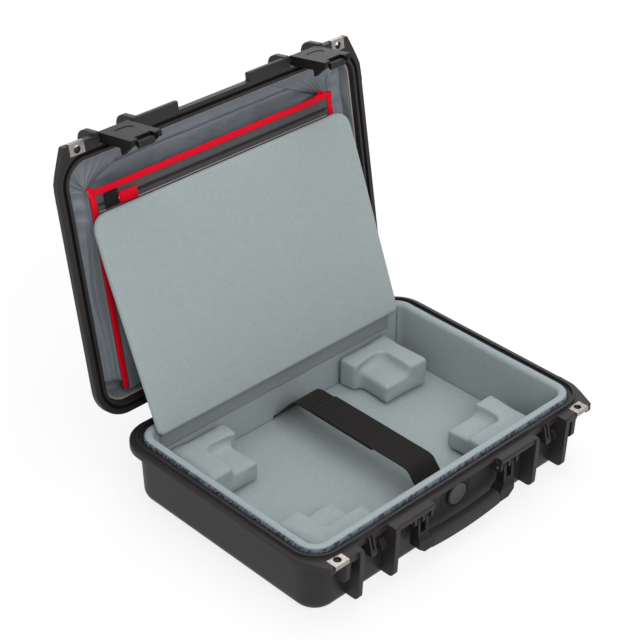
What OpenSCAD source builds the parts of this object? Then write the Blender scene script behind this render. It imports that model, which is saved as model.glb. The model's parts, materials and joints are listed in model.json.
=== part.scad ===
// Laptop hard case, standing open: two moulded shells, sprung trigger latches, folding handle,
// padlock hasps, padded lining with a folding divider, and a zipped lid pocket.
// Origin: middle of the underside. +X right, -Y front (latches), +Y back (hinge), +Z up.
// The lid and all it carries are drawn closed and then swung open about the hinge.

/* [Case] */
// Width over the rims
case_w = 504; // [496:1:520]
// Depth over the rims, front to back
case_d = 356; // [350:1:366]
// Height of the parting line above the ground
parting_z = 90; // [88:1:96]
// Height of the lid above the parting line
lid_h = 41; // [38:1:50]
// Plan radius of the rim's corners
rim_r = 46; // [44:1:50]
// Wall thickness of both shells
wall = 4; // [3:0.5:4.5]
// How far the lid stands open
lid_angle = 100; // [95:1:105]

/* [Rim] */
// Distance from the rim's edge in to the base wall
wall_inset = 12.4; // [12:0.1:13]
// How much the base wall draws in on its way down
base_draft = 3; // [2:0.5:4]
// How much the lid wall draws in on its way up
lid_draft = 4; // [3:0.5:5]
// Thickness of each rim flange
flange_t = 10; // [9:0.5:11]
// Edge radius along the bottom of the base
bottom_r = 17; // [14:1:18]
// Edge radius along the top of the lid
top_r = 14; // [12:1:16]
// Gap between the closed rims
seal_gap = 0.4; // [0.3:0.1:0.8]

/* [Hinge] */
// Hinge axis, distance behind the middle of the case
hinge_y = 190.7; // [190:0.1:192]
// Hinge axis, height above the ground
hinge_z = 82.1; // [82:0.1:82.3]
// Radius of the hinge knuckles
knuckle_r = 7.9; // [7.5:0.1:7.9]
// Radius of the hinge pins
hinge_pin_r = 2.5; // [2:0.1:3]
// Distance of each hinge from the middle of the case
hinge_x = 130; // [110:1:150]

/* [Latches] */
// Distance of each latch from the middle of the case
latch_x = 157; // [157:1:160]
// Width of a latch
latch_w = 46; // [44:1:46]
// Height of the latch's pivot above the parting line
latch_pivot_up = 6; // [6:0.5:7]
// Length of a latch below its pivot
latch_drop = 66; // [65:1:67]
// Width of the finger trigger
trigger_w = 24; // [22:1:24]

/* [Handle] */
// Half width of the handle
handle_half = 86; // [84:1:86]
// Depth of the grip, front to back
grip_d = 16; // [14:1:16]
// Height of the grip
grip_h = 20; // [18:1:22]
// How far the handle's ends hang below their pins
handle_drop = 53; // [50:1:54]
// Radius of the grip's bow
bow_r = 470; // [460:10:800]

/* [Lining] */
// Height of the padded wall's top above the parting line
liner_up = 6.6; // [5:0.1:7]
// Thickness of the padded wall
liner_t = 12.8; // [12:0.1:13]
// Height of the corner pads' tops above the ground
pad_top = 60; // [55:1:62]
// Height of the pads' inner shelves above the ground
shelf_top = 45; // [40:1:48]
// Length of the padded divider
divider_l = 291; // [280:1:291]
// Half width of the padded divider
divider_half = 216; // [210:1:217]
// Thickness of the padded divider
divider_t = 10; // [8:1:10]
// Width of the holding strap
strap_w = 47; // [40:1:50]
// Half width of the lid pocket
pocket_half = 203; // [195:1:205]

/* [Hidden] */
$fn = 64;

cx = case_w / 2 - rim_r;              // centres of the plan corners
cy = case_d / 2 - rim_r;
front = -case_d / 2;                  // plane of the rim's front edge
base_top_r = rim_r - wall_inset;      // base wall at the parting line, from the corner centre
base_low_r = base_top_r - base_draft; // base wall just above the bottom edge radius
lid_rim_r = base_top_r + 0.4;         // lid wall at the parting line
lid_top_r = lid_rim_r - lid_draft;    // lid wall just below the top edge radius
lid_low = parting_z + seal_gap;       // underside of the closed lid's rim
lid_top = parting_z + lid_h;
tongue_in = rim_r - 11.4;             // inner and outer radius of the sealing tongue
tongue_out = rim_r - 8;
tongue_up = 4.2;
groove_h = 6.5;
groove_gap = 0.6;                     // play beside the tongue
run_gap = 0.06;                       // radial play of every pin in its bore
rib_t = 7;                            // thickness of the ribs beside the latch bays
rib_in = latch_x - 35;                // inner side of the inner rib, as |x|
rib_out = latch_x + 24;               // inner side of the outer rib, as |x|
bay_front = front + 6;                // rim edge inside a latch bay
plate_front = front - 8;              // rim edge above the handle brackets
rib_front = front - 11;               // front of the ribs
root_y = front + 16.1;                // where what stands on the base's front wall is rooted in it
latch_y = front - 2;                  // latch pivot
latch_z = parting_z + latch_pivot_up;
latch_pin_r = 2;
latch_face = latch_y - 7;             // outer face of the latch
trigger_y = latch_y - 0.5;            // trigger pivot
trigger_z = latch_z - 49;
trigger_pin_r = 1.2;
strike_z = parting_z - 27;            // underside of the strike that the trigger hooks
lug_z = parting_z - 36;               // underside of the lugs that the latch's prongs hook
prong_z = lug_z - 0.6;                // top and tip of the prongs
prong_y = front + 12.2;
handle_y = front;                     // handle pivot
handle_z = parting_z - 15.6;
handle_pin_r = 2;
handle_arm_r = 5.2;                   // of the arms round their pins
bracket_in = 60;                      // inner side of the handle's brackets, as |x|
bracket_w = 34;                       // length of the bores through their prongs
bracket_prong_t = 3.8;
handle_low = handle_z - handle_drop;  // underside of the grip at its ends
grip_half = 60.2;                     // from the middle to the arms beside the grip
grip_z = handle_low + grip_h / 2 - 3.9;
slot_low = handle_z - 18;
hasp_x = 215;                         // padlock hole
hasp_y = front + 0.3;
padlock_r = 5;
hasp_t = 3;
valve_z = 62;
liner_out = base_top_r - wall - 1.2;  // padded wall, outer and inner radius at its top
liner_in = liner_out - liner_t;
floor_top = 14;
pivot_y = 141;                        // divider's fold line
pivot_z = 93;
divider_lean = 22.4;                  // the open divider, back from upright
divider_under = 7.2;                  // from the divider's front face back to its fold line
divider_tail = 4.8;                   // how far it reaches below its fold line
strap_x = 11;                         // middle of the strap
strap_t = 2.4;
strap_top = 62;
pocket_low = lid_low + 10.6;          // face of the lid pocket that looks down when closed
pocket_front = -117.6;                // top edge of the lid pocket
pocket_rear = cy + lid_top_r - wall - 2.6;
pocket_t = 2;                         // thickness of its front panel
pocket_back = pocket_low + pocket_t + 0.1;
binding_w = 9;
zip_y = -96;                          // line of the zip
zip_x = -157;                         // slider of the zip
hinge_half = 35;                      // half length of a hinge
knuckle_w = 14;
knuckle_gap = 0.4;
boss_y = front + 12.4;                // flat face of the valve's boss
lining_depth = 31.5;                  // how far down from its top the lid is lined
lining_t = 2;
piping_r = 1.4;
rubber = [0.07, 0.07, 0.075];
shell_black = [0.16, 0.155, 0.16];
foam_grey = [0.60, 0.645, 0.65];
nylon_grey = [0.40, 0.43, 0.47];
steel = [0.72, 0.72, 0.71];
trim_red = [0.80, 0.02, 0.09];
mesh_grey = [0.28, 0.27, 0.29];

// ---------- Shapes that repeat ----------

// Sweeps a (radius, height) section round a rectangle with its corner centres at (dx, dy)
module around(dx, dy) {
    for (quarter = [0:3]) {
        reach = quarter % 2 == 0 ? dx : dy;
        run = quarter % 2 == 0 ? dy : dx;
        rotate([0, 0, 90 * quarter]) {
            translate([reach, 0, 0]) rotate([90, 0, 0])
                linear_extrude(height = 2 * run, center = true) children();
            translate([reach, run, 0]) rotate_extrude(angle = 90) children();
        }
    }
}

// The same sweep, filled across the middle between two heights
module tray(dx, dy, low, high) {
    around(dx, dy) children();
    translate([-dx, -dy, low]) cube([2 * dx, 2 * dy, high - low]);
}

// Half section of a moulded tray: rounded bottom edge, wall leaning out, all set in by inset
module tray_section(low_r, high_r, height, edge_r, inset) {
    middle = low_r - edge_r;
    translate([middle, edge_r]) intersection() {
        circle(r = edge_r - inset);
        translate([0, -edge_r]) square([edge_r, 2 * edge_r]);
    }
    polygon([[0, inset], [middle, inset], [middle, edge_r], [low_r - inset, edge_r],
        [high_r - inset, height], [0, height]]);
}

// A flat rounded rectangle
module plate(half_x, half_y, r, low, high) {
    translate([0, 0, low]) linear_extrude(height = high - low) rounded(half_x, half_y, r);
}

module rounded(half_x, half_y, r) {
    square([2 * half_x, 2 * (half_y - r)], center = true);
    square([2 * (half_x - r), 2 * half_y], center = true);
    for (x = [-1, 1], y = [-1, 1])
        translate([x * (half_x - r), y * (half_y - r)]) circle(r = r);
}

// Extrudes a (y, z) outline along X from x by w
module across(x, w) {
    translate([x, 0, 0]) rotate([90, 0, 90]) linear_extrude(height = w) children();
}

// A round bar along X, from x by w
module bar(x, y, z, r, w) {
    translate([x, y, z]) rotate([0, 90, 0]) cylinder(r = r, h = w);
}

module box(x, y, z) {
    translate([x[0], y[0], z[0]]) cube([x[1] - x[0], y[1] - y[0], z[1] - z[0]]);
}

// Draws the right-hand piece, or its mirror image on the left
module on_side(side) {
    if (side < 0) mirror([1, 0, 0]) children();
    else children();
}

module both_sides() {
    for (side = [-1, 1]) on_side(side) children();
}

// Swings what is drawn on the closed lid to where the open lid holds it
module opened() {
    translate([0, hinge_y, hinge_z]) rotate([-lid_angle, 0, 0])
        translate([0, -hinge_y, -hinge_z]) children();
}

// ---------- Shells ----------

// Corner tab that carries a padlock hasp
module corner_tab(low, high) {
    translate([0, 0, low]) linear_extrude(height = high - low) difference() {
        polygon([[rib_out + 2, front + 12], [rib_out + 2, front - 7], [hasp_x + 18, front - 7],
            [hasp_x + 20, front - 3], [hasp_x + 30, front + 20], [hasp_x + 35.5, front + 35],
            [hasp_x + 36.5, front + 59], [hasp_x + 25, front + 59], [hasp_x, front + 12]]);
        translate([hasp_x, hasp_y - 4.4]) rounded(9, 10.4, 3);
        rounded(case_w / 2 - 2, case_d / 2 - 2, rim_r - 2);
    }
}

// Side outline of a rib beside a latch bay on the base
module base_rib_outline() {
    foot_z = 15.6;
    foot_r = 8;
    translate([rib_front + 3 + foot_r, foot_z + foot_r]) circle(r = foot_r);
    polygon([[root_y, foot_z], [rib_front + 3 + foot_r, foot_z],
        [rib_front + 3 + foot_r, foot_z + foot_r], [rib_front + 3, foot_z + foot_r],
        [rib_front + 1, parting_z - 12], [rib_front + 1, parting_z - 2],
        [rib_front + 3, parting_z], [root_y, parting_z]]);
}

// Side outline of an ear beside a latch bay on the lid
module lid_ear_outline() {
    nose_r = 16.5;
    top = lid_low + 36.5;
    intersection() {
        translate([rib_front + nose_r, top - nose_r]) circle(r = nose_r);
        translate([rib_front, top - nose_r]) square(nose_r);
    }
    polygon([[rib_front + 1.5, lid_low], [front + 5, lid_low], [front + 5, lid_low + 8],
        [front + 13.5, lid_low + 14], [front + 17, top - 10], [front + 22, top],
        [rib_front + nose_r, top], [rib_front, top - nose_r], [rib_front, lid_low + 1.5]]);
}

// Ramped strike in a latch bay: two blades joined by the nose that the trigger hooks
module strike() {
    blade_t = 3;
    half = 4.5;
    nose = trigger_y;
    for (x = [latch_x - half, latch_x + half - blade_t])
        across(x, blade_t) polygon([[root_y, strike_z], [nose, strike_z],
            [nose, strike_z + 4], [bay_front - 3, parting_z - 2], [root_y, parting_z - 2]]);
    across(latch_x - half, 2 * half) polygon([[root_y, strike_z], [nose, strike_z],
        [nose, strike_z + 4], [nose + 2, strike_z + 7], [root_y, strike_z + 7]]);
}

// Lugs on the bay's sides that the latch's prongs pull up against
module prong_lugs() {
    outline = [[root_y, lug_z], [front + 4.5, lug_z], [front + 4.5, lug_z + 7],
        [front + 10, lug_z + 14], [root_y, lug_z + 14]];
    across(rib_in + rib_t - 1, latch_x - latch_w / 2 + 4 - rib_in - rib_t)
        polygon(outline);
    across(latch_x + latch_w / 2 - 3, rib_out + 1 - latch_x - latch_w / 2 + 3)
        polygon(outline);
}

// Prongs, plate and web that the handle hangs from
module handle_bracket() {
    nose_r = 6.2;
    plate_low = parting_z - 8;
    across(bracket_in, rib_in + 5 - bracket_in) polygon([[root_y, plate_low], [plate_front + 1, plate_low],
        [plate_front, plate_low + 1.5], [plate_front, parting_z - 1.5],
        [plate_front + 1, parting_z], [root_y, parting_z]]);
    for (x = [1, 15.5, 29.2])
        across(bracket_in + x, bracket_prong_t) {
            translate([handle_y, handle_z]) circle(r = nose_r);
            polygon([[root_y, handle_z - nose_r], [handle_y, handle_z - nose_r],
                [handle_y, handle_z], [handle_y - nose_r, handle_z],
                [handle_y - nose_r, plate_low + 1], [root_y, plate_low + 1]]);
        }
}

// Ear below a corner tab
module tab_ear() {
    r = 6;
    low = parting_z - 39;
    across(hasp_x - 16, rib_t) {
        translate([front - 4 + r - 1, low + r]) circle(r = r);
        polygon([[root_y, low], [front - 5 + r, low], [front - 5 + r, low + r],
            [front - 5, low + r], [front - 6, parting_z - flange_t + 1],
            [root_y, parting_z - flange_t + 1]]);
    }
}

// Three fixed knuckles of a hinge, on a shelf below the rim
module base_knuckles() {
    difference() {
        union() {
            for (k = [-1, 0, 1])
                across(hinge_x + 2 * k * knuckle_w - knuckle_w / 2, knuckle_w) {
                    translate([hinge_y, hinge_z]) circle(r = knuckle_r);
                    polygon([[-root_y, parting_z - 26], [case_d / 2 + 4, parting_z - 22],
                        [hinge_y, hinge_z - knuckle_r], [hinge_y, hinge_z + knuckle_r],
                        [-root_y, hinge_z + knuckle_r]]);
                }
            across(hinge_x - hinge_half, 2 * hinge_half)
                polygon([[-root_y, parting_z - 26], [case_d / 2 + 4, parting_z - 22],
                    [hinge_y + 7, hinge_z - knuckle_r - 4], [hinge_y + 7, hinge_z - knuckle_r - 0.5],
                    [-root_y, hinge_z - knuckle_r - 0.5]]);
        }
        hinge_bore();
    }
}

module hinge_bore() {
    bar(hinge_x - hinge_half - 1, hinge_y, hinge_z, hinge_pin_r + run_gap, 2 * hinge_half + 2);
}

module lid_knuckles() {
    difference() {
        for (k = [-1, 1])
            across(hinge_x + k * knuckle_w - knuckle_w / 2 + knuckle_gap, knuckle_w - 2 * knuckle_gap) {
                translate([hinge_y, hinge_z]) circle(r = knuckle_r);
                polygon([[case_d / 2 - 5, lid_low + 1], [hinge_y - knuckle_r, lid_low + 1],
                    [hinge_y - knuckle_r, hinge_z], [hinge_y + knuckle_r, hinge_z],
                    [hinge_y + 6, lid_low + 4], [hinge_y - 4, lid_low + flange_t],
                    [case_d / 2 - 5, lid_low + flange_t]]);
            }
        hinge_bore();
    }
}

// Half section of the base: floor, wall, rim flange and sealing tongue
module base_section() {
    low = parting_z - flange_t;
    chamfer = 1.2;
    difference() {
        union() {
            tray_section(base_low_r, base_top_r, parting_z, bottom_r, 0);
            polygon([[base_top_r - 3, low - 6], [base_top_r, low - 6], [base_top_r + 3, low],
                [rim_r - chamfer, low], [rim_r, low + chamfer], [rim_r, parting_z - chamfer],
                [rim_r - chamfer, parting_z], [tongue_out, parting_z],
                [tongue_out - 0.4, parting_z + tongue_up], [tongue_in + 0.4, parting_z + tongue_up],
                [tongue_in, parting_z], [base_top_r - 3, parting_z]]);
        }
        tray_section(base_low_r, base_top_r, parting_z + 1, bottom_r, wall);
    }
}

module base_shell() color(shell_black) difference() {
    union() {
        difference() {
            union() {
                tray(cx, cy, 0, wall) base_section();
                both_sides() corner_tab(parting_z - flange_t, parting_z);
                both_sides() handle_bracket();
            }
            front_cuts(parting_z - flange_t - 1, parting_z + 1);
            middle_relief();
            both_sides() hasp_seat(parting_z - hasp_t, parting_z + 1, parting_z - 6);
        }
        both_sides() {
            for (x = [rib_in, rib_out]) across(x, rib_t) base_rib_outline();
            tab_ear();
            base_knuckles();
            strike();
            prong_lugs();
        }
        valve_disc(19, -root_y, root_y - boss_y);
        both_sides() across(23, 2.4) polygon([[root_y, valve_z - 12], [boss_y, valve_z - 9],
            [boss_y, valve_z + 9], [root_y, valve_z + 12]]);
    }
    both_sides() bar(bracket_in, handle_y, handle_z, handle_pin_r + run_gap, bracket_w);
    valve_disc(12.05, -root_y - 4, 20);
    valve_disc(18.5, -boss_y, 20);
    foot_recess();
}

// Two shallow recesses that leave a standing rim and a middle band under the base
module foot_recess() {
    both_sides() translate([(cx + 12) / 2, 0, 0]) plate((cx - 36) / 2, cy - 12, 20, -1, 1.2);
}

// Underside of the rim between the handle brackets, which is thinner there
module middle_relief() {
    middle = bracket_in - 1;
    box([-middle, middle], [front - 20, front + wall_inset - 3],
        [parting_z - flange_t - 1, parting_z - 4.6]);
}

// Latch bays and the middle of the front rim
module front_cuts(low, high) {
    middle = bracket_in - 1;
    box([-middle, middle], [front - 20, front + 2], [low, high]);
    both_sides() box([rib_in + rib_t, rib_out], [front - 20, bay_front], [low, high]);
}

// Half section of the lid, measured down from its top: roof, wall, rim flange and seal groove
module lid_section() {
    low = lid_h - seal_gap;
    chamfer = 1.2;
    difference() {
        union() {
            tray_section(lid_top_r, lid_rim_r, low, top_r, 0);
            polygon([[lid_rim_r - 3, low - flange_t], [rim_r - chamfer, low - flange_t],
                [rim_r, low - flange_t + chamfer], [rim_r, low - chamfer], [rim_r - chamfer, low],
                [lid_rim_r - 3, low]]);
        }
        tray_section(lid_top_r, lid_rim_r, low + 1, top_r, wall);
        translate([tongue_in - groove_gap, low - groove_h])
            square([tongue_out - tongue_in + 2 * groove_gap, groove_h + 1]);
    }
}

module lid_shell() color(shell_black) opened() difference() {
    union() {
        difference() {
            union() {
                translate([0, 0, lid_top]) mirror([0, 0, 1]) tray(cx, cy, 0, wall) lid_section();
                both_sides() corner_tab(lid_low, lid_low + flange_t);
                both_sides() guard();
            }
            front_cuts(lid_low - 1, lid_low + flange_t + 1);
            both_sides() hasp_seat(lid_low - 1, lid_low + hasp_t, lid_low + 6);
        }
        both_sides() {
            for (x = [rib_in, rib_out]) across(x, rib_t) lid_ear_outline();
            lid_knuckles();
        }
    }
    both_sides() bar(rib_in - 1, latch_y, latch_z, latch_pin_r + run_gap, rib_out + rib_t - rib_in + 2);
}

// Raised guard along the lid's rim beside the handle
module guard() {
    across(bracket_in - 2, rib_in + 3 - bracket_in) polygon([[front + 5, lid_low], [plate_front - 1, lid_low],
        [plate_front - 2, lid_low + 1.5], [plate_front - 1.5, lid_low + 7],
        [plate_front + 1, lid_low + 8.6], [front + 5, lid_low + 8.6]]);
}

module lid_gasket() color(rubber) opened()
    around(cx, cy) translate([(tongue_in + tongue_out) / 2, lid_low + groove_h - 1.1]) {
        square([tongue_out - tongue_in + 1, 2.1], center = true);
        translate([0, -0.4]) circle(r = 0.9);
    }

// ---------- Hinge pins, handle and valve ----------

module hinge_pin() color(steel)
    bar(hinge_x - hinge_half + 0.5, hinge_y, hinge_z, hinge_pin_r, 2 * hinge_half - 1);

module handle_pin() color(steel)
    bar(bracket_in + 0.6, handle_y, handle_z, handle_pin_r, bracket_w - 1.6);

// Front outline of the handle: two arms, chamfered corners and the grip between them
module handle_outline() {
    inner = handle_half - 18;
    difference() {
        polygon([[-handle_half, handle_z + 7], [-handle_half, handle_low + 13],
            [-handle_half + 11, handle_low + 4], [-handle_half + 22, handle_low],
            [handle_half - 22, handle_low], [handle_half - 11, handle_low + 4],
            [handle_half, handle_low + 13], [handle_half, handle_z + 7]]);
        polygon([[-inner, handle_z + 8], [-inner, handle_low + grip_h + 8],
            [-grip_half, handle_low + grip_h], [-grip_half, handle_low - 1],
            [grip_half, handle_low - 1], [grip_half, handle_low + grip_h],
            [inner, handle_low + grip_h + 8], [inner, handle_z + 8]]);
    }
}

// Side outline of the handle: round at the pivot, full at the grip
module handle_side() {
    corner = 5;
    translate([handle_y, handle_z]) circle(r = handle_arm_r);
    polygon([[handle_y + handle_arm_r, handle_z], [handle_y + 6, handle_low + grip_h + 12],
        [handle_y + 7, handle_low + grip_h + 2], [handle_y + 7, handle_low + corner],
        [handle_y + 2, handle_low], [handle_y - 4, handle_low], [handle_y - 9, handle_low + corner],
        [handle_y - 9, handle_low + grip_h + 2], [handle_y - 6, handle_low + grip_h + 12],
        [handle_y - handle_arm_r, handle_z]]);
}

// Sweeps a section along the grip's bow
module along_bow() {
    half = 8;
    translate([0, handle_y - 1, grip_z + bow_r]) rotate([90, 0, 0]) rotate([0, 0, -90 - half])
        rotate_extrude(angle = 2 * half) translate([bow_r, 0]) children();
}

module handle() color(shell_black) {
    difference() {
        intersection() {
            translate([0, 50 + front, 0]) rotate([90, 0, 0]) linear_extrude(height = 100)
                handle_outline();
            across(-handle_half - 1, 2 * handle_half + 2) handle_side();
        }
        // slots for the brackets' middle prongs
        both_sides() box([bracket_in + 13.2, bracket_in + 21.8], [front - 20, front + 20],
            [slot_low, handle_z + 9]);
        both_sides() bar(bracket_in, handle_y, handle_z, handle_pin_r + run_gap, bracket_w);
    }
    along_bow() circle(r = 5);
}

// Soft grip between the arms, moulded round the handle's core
module handle_grip() color(rubber) difference() {
    intersection() {
        along_bow() rounded(grip_h / 2, grip_d / 2, 6);
        box([0.2 - grip_half, grip_half - 0.2], [front - 20, front + 20],
            [handle_low - 8, handle_low + grip_h + 5]);
    }
    along_bow() circle(r = 5.02);
}

// A disc of the valve, depth mm in front of the case's middle
module valve_disc(r, depth, h) {
    translate([0, -depth, valve_z]) rotate([90, 0, 0]) cylinder(r = r, h = h);
}

module valve_body() color(rubber) difference() {
    union() {
        valve_disc(17.5, -boss_y + 0.05, 2.8);
        valve_disc(12, -boss_y - 4.6, 5);
    }
    valve_disc(15.2, -boss_y + 1, 4);
}

module valve_cap() color(shell_black) difference() {
    union() {
        valve_disc(14.4, -boss_y + 1.05, 2.25);
        for (a = [0:15:345]) translate([14.2 * cos(a), boss_y - 1.4, valve_z + 14.2 * sin(a)])
            rotate([90, 0, 0]) cylinder(r = 0.7, h = 1.6, $fn = 16);
    }
    valve_disc(11, -boss_y + 2.8, 1);
}

// ---------- Hasps ----------

// Seat for a hasp plate in a corner tab
module hasp_seat(low, high, lip) {
    box([hasp_x - 11, hasp_x + 11], [front - 10, front + 7], [low, high]);
    box([hasp_x - 11, hasp_x + 11], [front - 10, front - 5], [min(low, lip), max(high, lip)]);
}

// Steel plate with a padlock hole and a lip folded over the rim's front edge
module hasp(low, lip_low, lip_high) {
    translate([0, 0, low]) linear_extrude(height = hasp_t) difference() {
        translate([hasp_x, front + 1]) {
            square([22, 12], center = true);
            translate([0, -6]) square([14, 6], center = true);
            for (x = [-7, 7]) translate([x, -5]) circle(r = 4);
        }
        translate([hasp_x, hasp_y]) circle(r = padlock_r);
    }
    box([hasp_x - 11, hasp_x + 11], [front - 8.5, front - 5.5], [lip_low, lip_high]);
}

module base_hasp(side) color(steel) on_side(side)
    hasp(parting_z - hasp_t, parting_z - 6, parting_z);

module lid_hasp(side) color(steel) opened() on_side(side)
    hasp(lid_low, lid_low, lid_low + 6);

// ---------- Latches ----------

// Side outline of the latch's cheeks: barrel above, tapering to the prong below
module cheek_outline() {
    low = latch_z - latch_drop;
    translate([latch_y, latch_z]) circle(r = 6);
    polygon([[latch_face, latch_z], [latch_y + 6, latch_z], [latch_y + 5.6, prong_z],
        [latch_y + 4, low + 9], [latch_y + 1, low + 1], [latch_face + 1, low],
        [latch_face, low + 1]]);
}

// Side outline of the prong that pulls up under a lug
module prong_outline() {
    low = latch_z - latch_drop;
    polygon([[latch_face + 1.5, prong_z], [prong_y, prong_z], [prong_y, prong_z - 2.6],
        [latch_y + 4.4, prong_z - 15.6], [latch_y + 4, low + 9], [latch_y + 1, low + 1],
        [latch_face + 1.5, low + 0.6]]);
}

module latch(side) color(shell_black) opened() on_side(side) {
    left = latch_x - latch_w / 2;
    low = latch_z - latch_drop;
    cheek_t = 3;
    prong_t = 6;
    difference() {
        union() {
            for (x = [left, left + latch_w - cheek_t]) across(x, cheek_t) cheek_outline();
            for (x = [left, left + latch_w - prong_t]) across(x, prong_t) prong_outline();
            across(left + 1, latch_w - 2) face_outline(low + 0.6);
            bar(left + 1, latch_y, latch_z, 5.5, latch_w - 2);
            for (x = [latch_x - trigger_w / 2 - 4, latch_x + trigger_w / 2 + 0.5])
                across(x, 3.5) trigger_lug_outline();
        }
        bar(left - 1, latch_y, latch_z, latch_pin_r + run_gap, latch_w + 2);
        bar(latch_x - 20, trigger_y, trigger_z, trigger_pin_r + run_gap, 40);
        // notch that bares the trigger's finger tab
        box([latch_x - trigger_w / 2 - 0.5, latch_x + trigger_w / 2 + 0.5],
            [latch_face - 1, latch_y + 10], [low - 1, low + 9]);
        // shallow oval thumb recess
        translate([latch_x, latch_face, latch_z - 24]) rotate([90, 0, 0])
            translate([0, 0, -0.8]) linear_extrude(height = 3) oval(13, 8);
    }
    // small ribs at the sides of the barrel take up the play between the ears
    washer_w = left - rib_in - rib_t - 0.4;
    bar_ring(left - washer_w, washer_w + 1, 4);
    bar_ring(left + latch_w - 1, rib_out - 0.4 - left - latch_w + 1, 4);
}

// A collar round the latch pin
module bar_ring(x, w, r) {
    difference() {
        bar(x, latch_y, latch_z, r, w);
        bar(x - 1, latch_y, latch_z, latch_pin_r + run_gap, w + 2);
    }
}

module oval(half_x, half_y) {
    square([2 * (half_x - half_y), 2 * half_y], center = true);
    for (x = [-1, 1]) translate([x * (half_x - half_y), 0]) circle(r = half_y);
}

// Section of the latch's outer plate
module face_outline(low) {
    t = 2.5;
    polygon([[latch_face, low + 1.5], [latch_face + 1, low], [latch_face + t, low],
        [latch_face + t, latch_z - 2], [latch_y - 2, latch_z + 4], [latch_y - 4, latch_z + 4],
        [latch_face, latch_z - 1]]);
}

module trigger_lug_outline() {
    translate([trigger_y, trigger_z]) circle(r = 3.4);
    polygon([[latch_face + 1, trigger_z - 4.5], [trigger_y, trigger_z - 3.4],
        [trigger_y, trigger_z + 3.4], [latch_face + 1, trigger_z + 4.5]]);
}

// Rocking trigger: finger tab below its pin, hooked tooth above
module trigger(side) color(shell_black) opened() on_side(side) {
    left = latch_x - trigger_w / 2;
    low = latch_z - latch_drop;
    difference() {
        across(left, trigger_w) {
            translate([trigger_y, trigger_z]) circle(r = 3.2);
            polygon([[trigger_y - 2.4, low + 2], [trigger_y - 1.4, low + 1],
                [trigger_y + 5.4, low + 1], [trigger_y + 6.4, low + 2],
                [trigger_y + 6.4, low + 4.4], [trigger_y + 2.6, low + 8], [trigger_y + 2.4, trigger_z],
                [trigger_y + 0.8, strike_z + seal_gap - 7.5], [trigger_y + 3.4, strike_z + seal_gap - 6.5],
                [trigger_y + 3, strike_z + seal_gap - 0.8], [trigger_y - 0.7, strike_z + seal_gap - 0.8],
                [trigger_y - 1.2, trigger_z + 4], [trigger_y - 2.4, trigger_z]]);
        }
        bar(left - 1, trigger_y, trigger_z, trigger_pin_r + run_gap, trigger_w + 2);
        box([latch_x - 3.4, latch_x + 3.4], [trigger_y - 4, trigger_y + 4],
            [trigger_z - 3.8, trigger_z + 3.8]);
    }
}

module latch_pin(side) color(steel) opened() on_side(side)
    bar(rib_in + 0.5, latch_y, latch_z, latch_pin_r, rib_out + rib_t - rib_in - 1);

module trigger_pin(side) color(steel) opened() on_side(side)
    bar(latch_x - trigger_w / 2 - 4, trigger_y, trigger_z, trigger_pin_r, trigger_w + 8);

module trigger_spring(side) color(steel) opened() on_side(side) difference() {
    bar(latch_x - 3, trigger_y, trigger_z, 2.4, 6);
    bar(latch_x - 4, trigger_y, trigger_z, 1.5, 8);
}

// ---------- Lining of the base ----------

// Padded wall: follows the shell and ends in a rounded top
module base_liner() color(foam_grey) around(cx, cy) {
    top_half = liner_t / 2;
    top = parting_z + liner_up;
    low_r = base_low_r - wall;
    translate([liner_in + top_half, top - top_half]) circle(r = top_half);
    polygon([[liner_in, 4.6], [low_r - 10.6, 4.6], [low_r - 4.6, 8], [low_r - 0.5, bottom_r + 0.5],
        [liner_out, top - top_half], [liner_in, top - top_half]]);
}

// Outer radius of the padded wall at a height
function liner_r(z) = base_low_r - wall - 0.5
    + (liner_out - base_low_r + wall + 0.5) * (z - bottom_r) / (parting_z - bottom_r);

// Hook-and-loop band round the outside of the padded wall
module liner_band() color(nylon_grey) around(cx, cy) {
    low = parting_z - 14;
    gap = 0.12;
    polygon([[liner_r(low) + gap, low], [liner_r(low) + gap + 0.7, low],
        [liner_r(parting_z) + gap + 0.7, parting_z], [liner_r(parting_z) + gap, parting_z]]);
}

module floor_pad() color(foam_grey)
    plate(cx + liner_in - 0.4, cy + liner_in - 0.4, liner_in - 0.4, 4.3, floor_top);

// Corner pad: an L-shaped block round a lower shelf
module corner_pad(arm_x, wide_x, deep_y, near_y, arm_y) {
    soft = 4;
    module block(a, b, low, high) {
        minkowski() {
            box([min(a[0], b[0]) + soft, max(a[0], b[0]) - soft],
                [min(a[1], b[1]) + soft, max(a[1], b[1]) - soft], [low + soft, high - soft]);
            sphere(r = soft, $fn = 16);
        }
    }
    block([arm_x, deep_y], [wide_x, near_y], floor_top + 0.3, pad_top);
    block([wide_x - 38, deep_y], [wide_x, arm_y], floor_top + 0.3, pad_top);
    block([arm_x + 10, deep_y], [wide_x, arm_y], floor_top + 0.3, shelf_top);
}

module pad_rear(side) color(foam_grey) on_side(side)
    corner_pad(104, 196, 147, 113, 58);

module pad_front(side) color(foam_grey) on_side(side)
    corner_pad(94, 195, -147, -99, -52);

// Webbing: a band that follows points in the (y, z) plane
module webbing(points, t) {
    back = [for (i = [len(points) - 1:-1:0]) [points[i][0], points[i][1] - t]];
    across(strap_x - strap_w / 2, strap_w) polygon(concat(points, back));
}

module strap_rear() color(rubber)
    webbing([[147.2, floor_top + 2.8], [141, floor_top + 8.5], [113, strap_top - 5], [108, strap_top - 1.4],
        [102, strap_top], [-34, strap_top]], strap_t);

module strap_front() color(rubber)
    webbing([[76, strap_top + strap_t + 0.3], [-90, strap_top + strap_t + 0.3],
        [-96, strap_top + strap_t - 1], [-101, strap_top - 3.5], [-131, floor_top + 12],
        [-147.2, floor_top + 3.6]], strap_t);

// ---------- Divider ----------

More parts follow.
